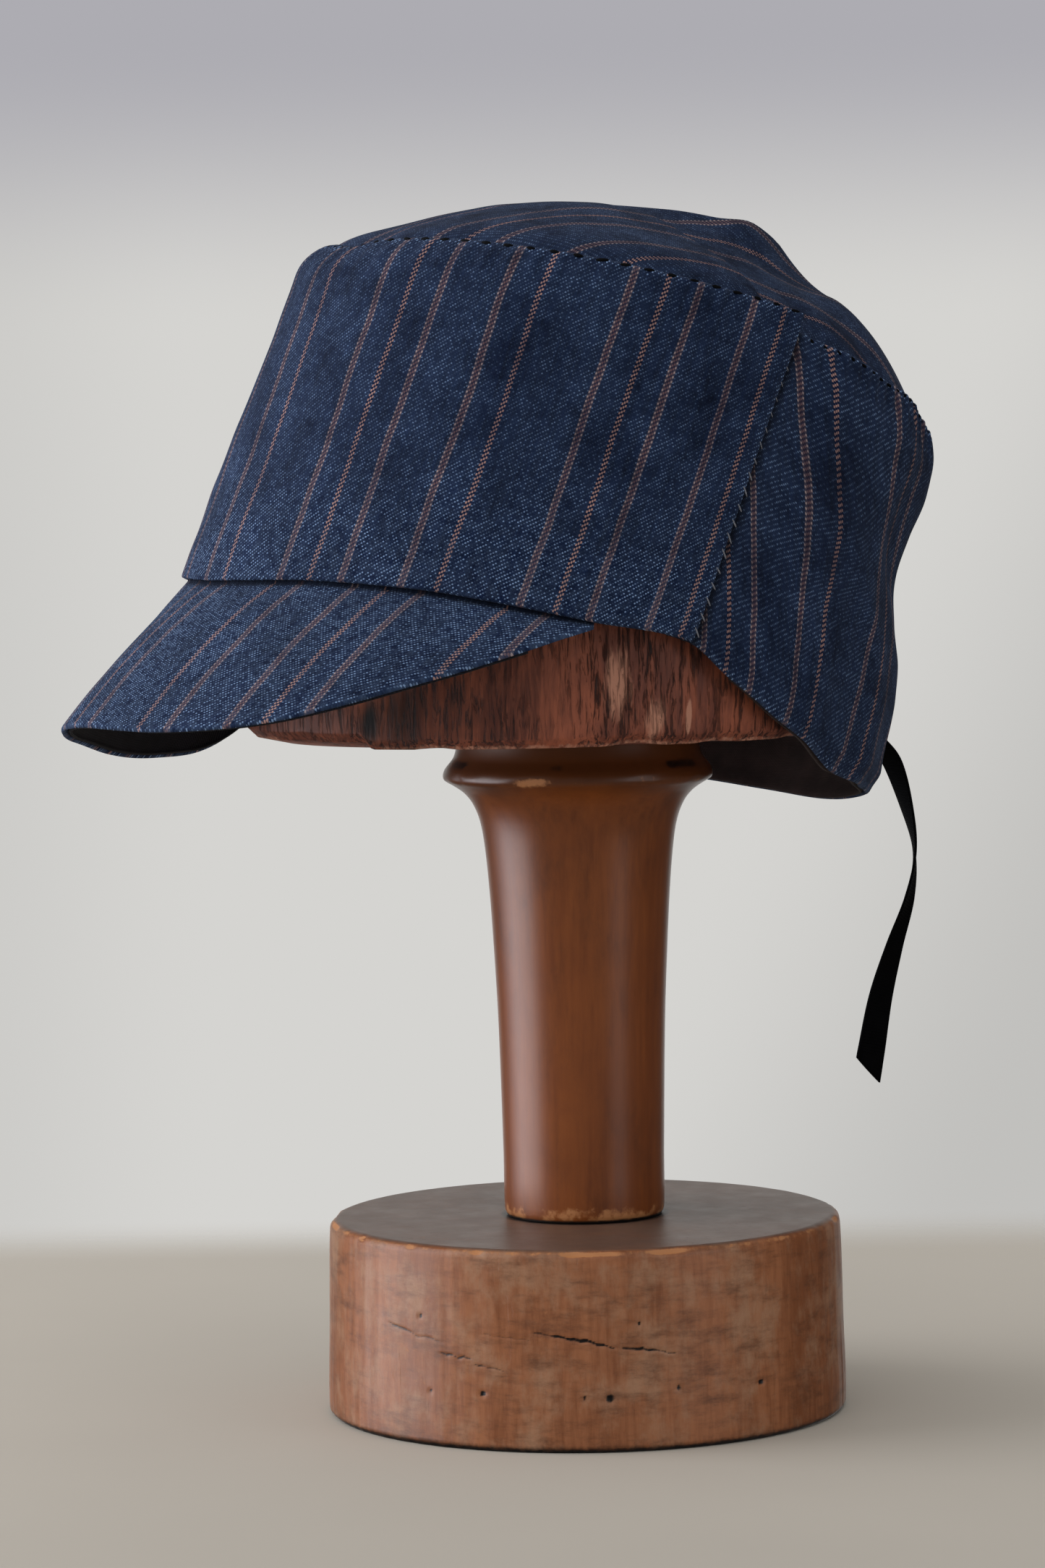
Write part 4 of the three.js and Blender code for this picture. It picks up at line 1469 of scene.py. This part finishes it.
class FIELDCAP_OT_stage(bpy.types.Operator):
    """Sets a plain pale floor and soft light"""

    bl_idname = "fieldcap.stage"
    bl_label = "Floor and light"

    FLOOR_SIZE = 2.2
    FLOOR_EDGE = (1.4, 2.1)  # where the floor fades away all round
    FLOOR_END = (0.27, 0.37)  # where it meets the backdrop behind the stand
    FLOOR_SIDE = (0.6, 1.1)  # where it fades away towards the key light
    FLOOR_SHADE = (-0.06, -0.3, 0.0, 0.13)  # how it darkens towards the viewer
    # Lights: place to the right, near and up, width, height and tint.
    KEY = ((-1.4, 0.1, 0.5), 1.1, 1.8, (0.98, 0.98, 1.0))
    FILL = ((1.09, 0.88, 0.3), 0.55, 1.2, (0.97, 0.98, 1.0))
    AIM = (0, -0.01, 0.2)
    WINDOW = (1.4, 1.45, 1.65)  # the bright window that only polished wood mirrors

    def directions(self, stage):
        turn = stage.camera_turn
        right = Vector((math.cos(turn), math.sin(turn), 0))
        near = Vector((math.sin(turn), -math.cos(turn), 0))
        return right, near, Vector((0, 0, 1))

    def floor(self, stage):
        right, near, _ = self.directions(stage)
        made = bpy.data.materials.new("Pale floor")
        made.use_nodes = True
        n = Nodes(made.node_tree)
        place = n.add("TexCoord").outputs["Object"]
        tone = n.mix(n.noise(place, 9.0, 3.0), shaded(stage.floor, 0.94), stage.floor)
        away = n.dot(place, -near)
        tone = n.mix(n.step(away, *self.FLOOR_SHADE), tone, (0, 0, 0))
        shader = n.add("BsdfPrincipled", {"Base Color": tone, "Roughness": 0.75})
        clear = n.add("BsdfTransparent")
        out = n.add("VectorMath", {0: place}, operation="LENGTH").outputs["Value"]
        left = n.dot(place, -right)
        ends = n.math("MAXIMUM", n.step(away, *self.FLOOR_END), n.step(out, *self.FLOOR_EDGE))
        ends = n.math("MAXIMUM", ends, n.step(left, *self.FLOOR_SIDE))
        blend = n.add("MixShader", {0: ends, 1: shader.outputs[0], 2: clear.outputs[0]})
        n.add("OutputMaterial", {0: blend.outputs[0]})
        bm = bmesh.new()
        bmesh.ops.create_circle(bm, cap_ends=True, segments=96, radius=self.FLOOR_SIZE)
        floor = meshed("Floor", bm, made)
        floor.visible_glossy = False
        floor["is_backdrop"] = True

    def backdrop(self, scene, stage):
        right, near, _ = self.directions(stage)
        world = bpy.data.worlds.new("Room")
        scene.world = world
        world.use_nodes = True
        n = Nodes(world.node_tree)
        way = n.add("TexCoord").outputs["Generated"]
        z = n.parts(way)["Z"]
        aside = n.dot(way, right)
        # The camera sees a pale wall, shaded at its sides, cooler above and darker below.
        shade = n.step(n.times_plus(z, -0.5, aside), 0.06, 0.15, 0.0, 0.5)
        shade = n.math("MAXIMUM", shade, n.step(aside, -0.07, -0.13, 0.0, 0.25))
        seen = n.mix(shade, stage.wall, shaded(stage.wall, 0.6))
        seen = n.mix(n.step(z, 0.03, 0.088), seen, stage.sky)
        seen = n.mix(n.step(z, -0.22, -0.32), seen, shaded(stage.floor, 0.72))
        # The room is dark to the right and behind, and bright overhead.
        side = n.dot(way, 0.77 * right - 0.64 * near)
        low, high = shaded(stage.wall, 0.6), shaded(stage.wall, 1.15)
        light = n.mix(n.step(z, -0.25, 0.7), low, high)
        light = n.mix(n.step(side, -0.75, 0.75, 0.0, 0.93), light, (0, 0, 0))
        light = n.mix(n.step(z, 0.5, 0.95), light, shaded(stage.wall, 1.1))
        # Polished wood mirrors only the wall behind it and the window.
        behind = n.dot(way, -near)
        mirrored = n.mix(n.step(behind, 0.84, 0.97), shaded(stage.wall, 0.07), stage.wall)
        mirrored = n.mix(n.step(aside, -0.78, -0.95), mirrored, self.WINDOW)
        ray = n.add("LightPath").outputs
        shown = n.mix(ray["Is Camera Ray"], mirrored, seen)
        direct = n.add("Background", {"Color": shown, "Strength": 1.0})
        room = n.add("Background", {"Color": light, "Strength": stage.room})
        plain = n.math("MAXIMUM", ray["Is Camera Ray"], ray["Is Glossy Ray"])
        blend = n.add("MixShader", {0: plain, 1: room.outputs[0], 2: direct.outputs[0]})
        n.add("OutputWorld", {0: blend.outputs[0]})

    def lamp(self, name, stage, power, steps, wide, tall, shade):
        place = sum((k * way for k, way in zip(steps, self.directions(stage))), Vector())
        data = bpy.data.lights.new(name, "AREA")
        data.shape = "RECTANGLE"
        data.size, data.size_y = wide, tall
        data.energy = power
        data.color = shade
        lamp = linked(name, data)
        lamp.location = place
        aim = Vector(self.AIM) - place
        lamp.rotation_euler = aim.to_track_quat("-Z", "Y").to_euler()

    def execute(self, context):
        stage = context.scene.fieldcap_stage
        self.floor(stage)
        self.backdrop(context.scene, stage)
        self.lamp("Key", stage, stage.key, *self.KEY)
        self.lamp("Fill", stage, stage.fill, *self.FILL)
        context.scene.view_settings.view_transform = "Standard"
        return {"FINISHED"}


OPERATORS = (
    FIELDCAP_OT_camera,
    FIELDCAP_OT_ribbon,
    FIELDCAP_OT_panels,
    FIELDCAP_OT_peak,
    FIELDCAP_OT_lining,
    FIELDCAP_OT_stitches,
    FIELDCAP_OT_stand,
    FIELDCAP_OT_stage,
)


class FIELDCAP_PT_panel(bpy.types.Panel):
    """Lists the steps that make the cap and its stand"""

    bl_idname = "FIELDCAP_PT_panel"
    bl_label = "Field cap"
    bl_space_type = "VIEW_3D"
    bl_region_type = "UI"
    bl_category = "Field cap"

    def draw(self, context):
        for step in OPERATORS:
            self.layout.operator(step.bl_idname)
        for group_name in GROUPS:
            box = self.layout.box()
            settings = getattr(context.scene, group_name)
            for name in settings.bl_rna.properties.keys():
                if name not in {"rna_type", "name"}:
                    box.prop(settings, name)


GROUPS = {
    "fieldcap_cap": CapProperties,
    "fieldcap_stand": StandProperties,
    "fieldcap_stage": StageProperties,
}
CLASSES = (*GROUPS.values(), *OPERATORS, FIELDCAP_PT_panel)


def register():
    for made in CLASSES:
        bpy.utils.register_class(made)
    for name, made in GROUPS.items():
        setattr(bpy.types.Scene, name, PointerProperty(type=made))


def unregister():
    for name in GROUPS:
        delattr(bpy.types.Scene, name)
    for made in reversed(CLASSES):
        bpy.utils.unregister_class(made)


def main():
    register()
    for step in OPERATORS:
        area, name = step.bl_idname.split(".")
        getattr(getattr(bpy.ops, area), name)()
    boxes = {"cad": CAD_BOX, "visual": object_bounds()}
    {key: [list(corner) for corner in box] for key, box in boxes.items()}


if __name__ == "__main__":
    main()
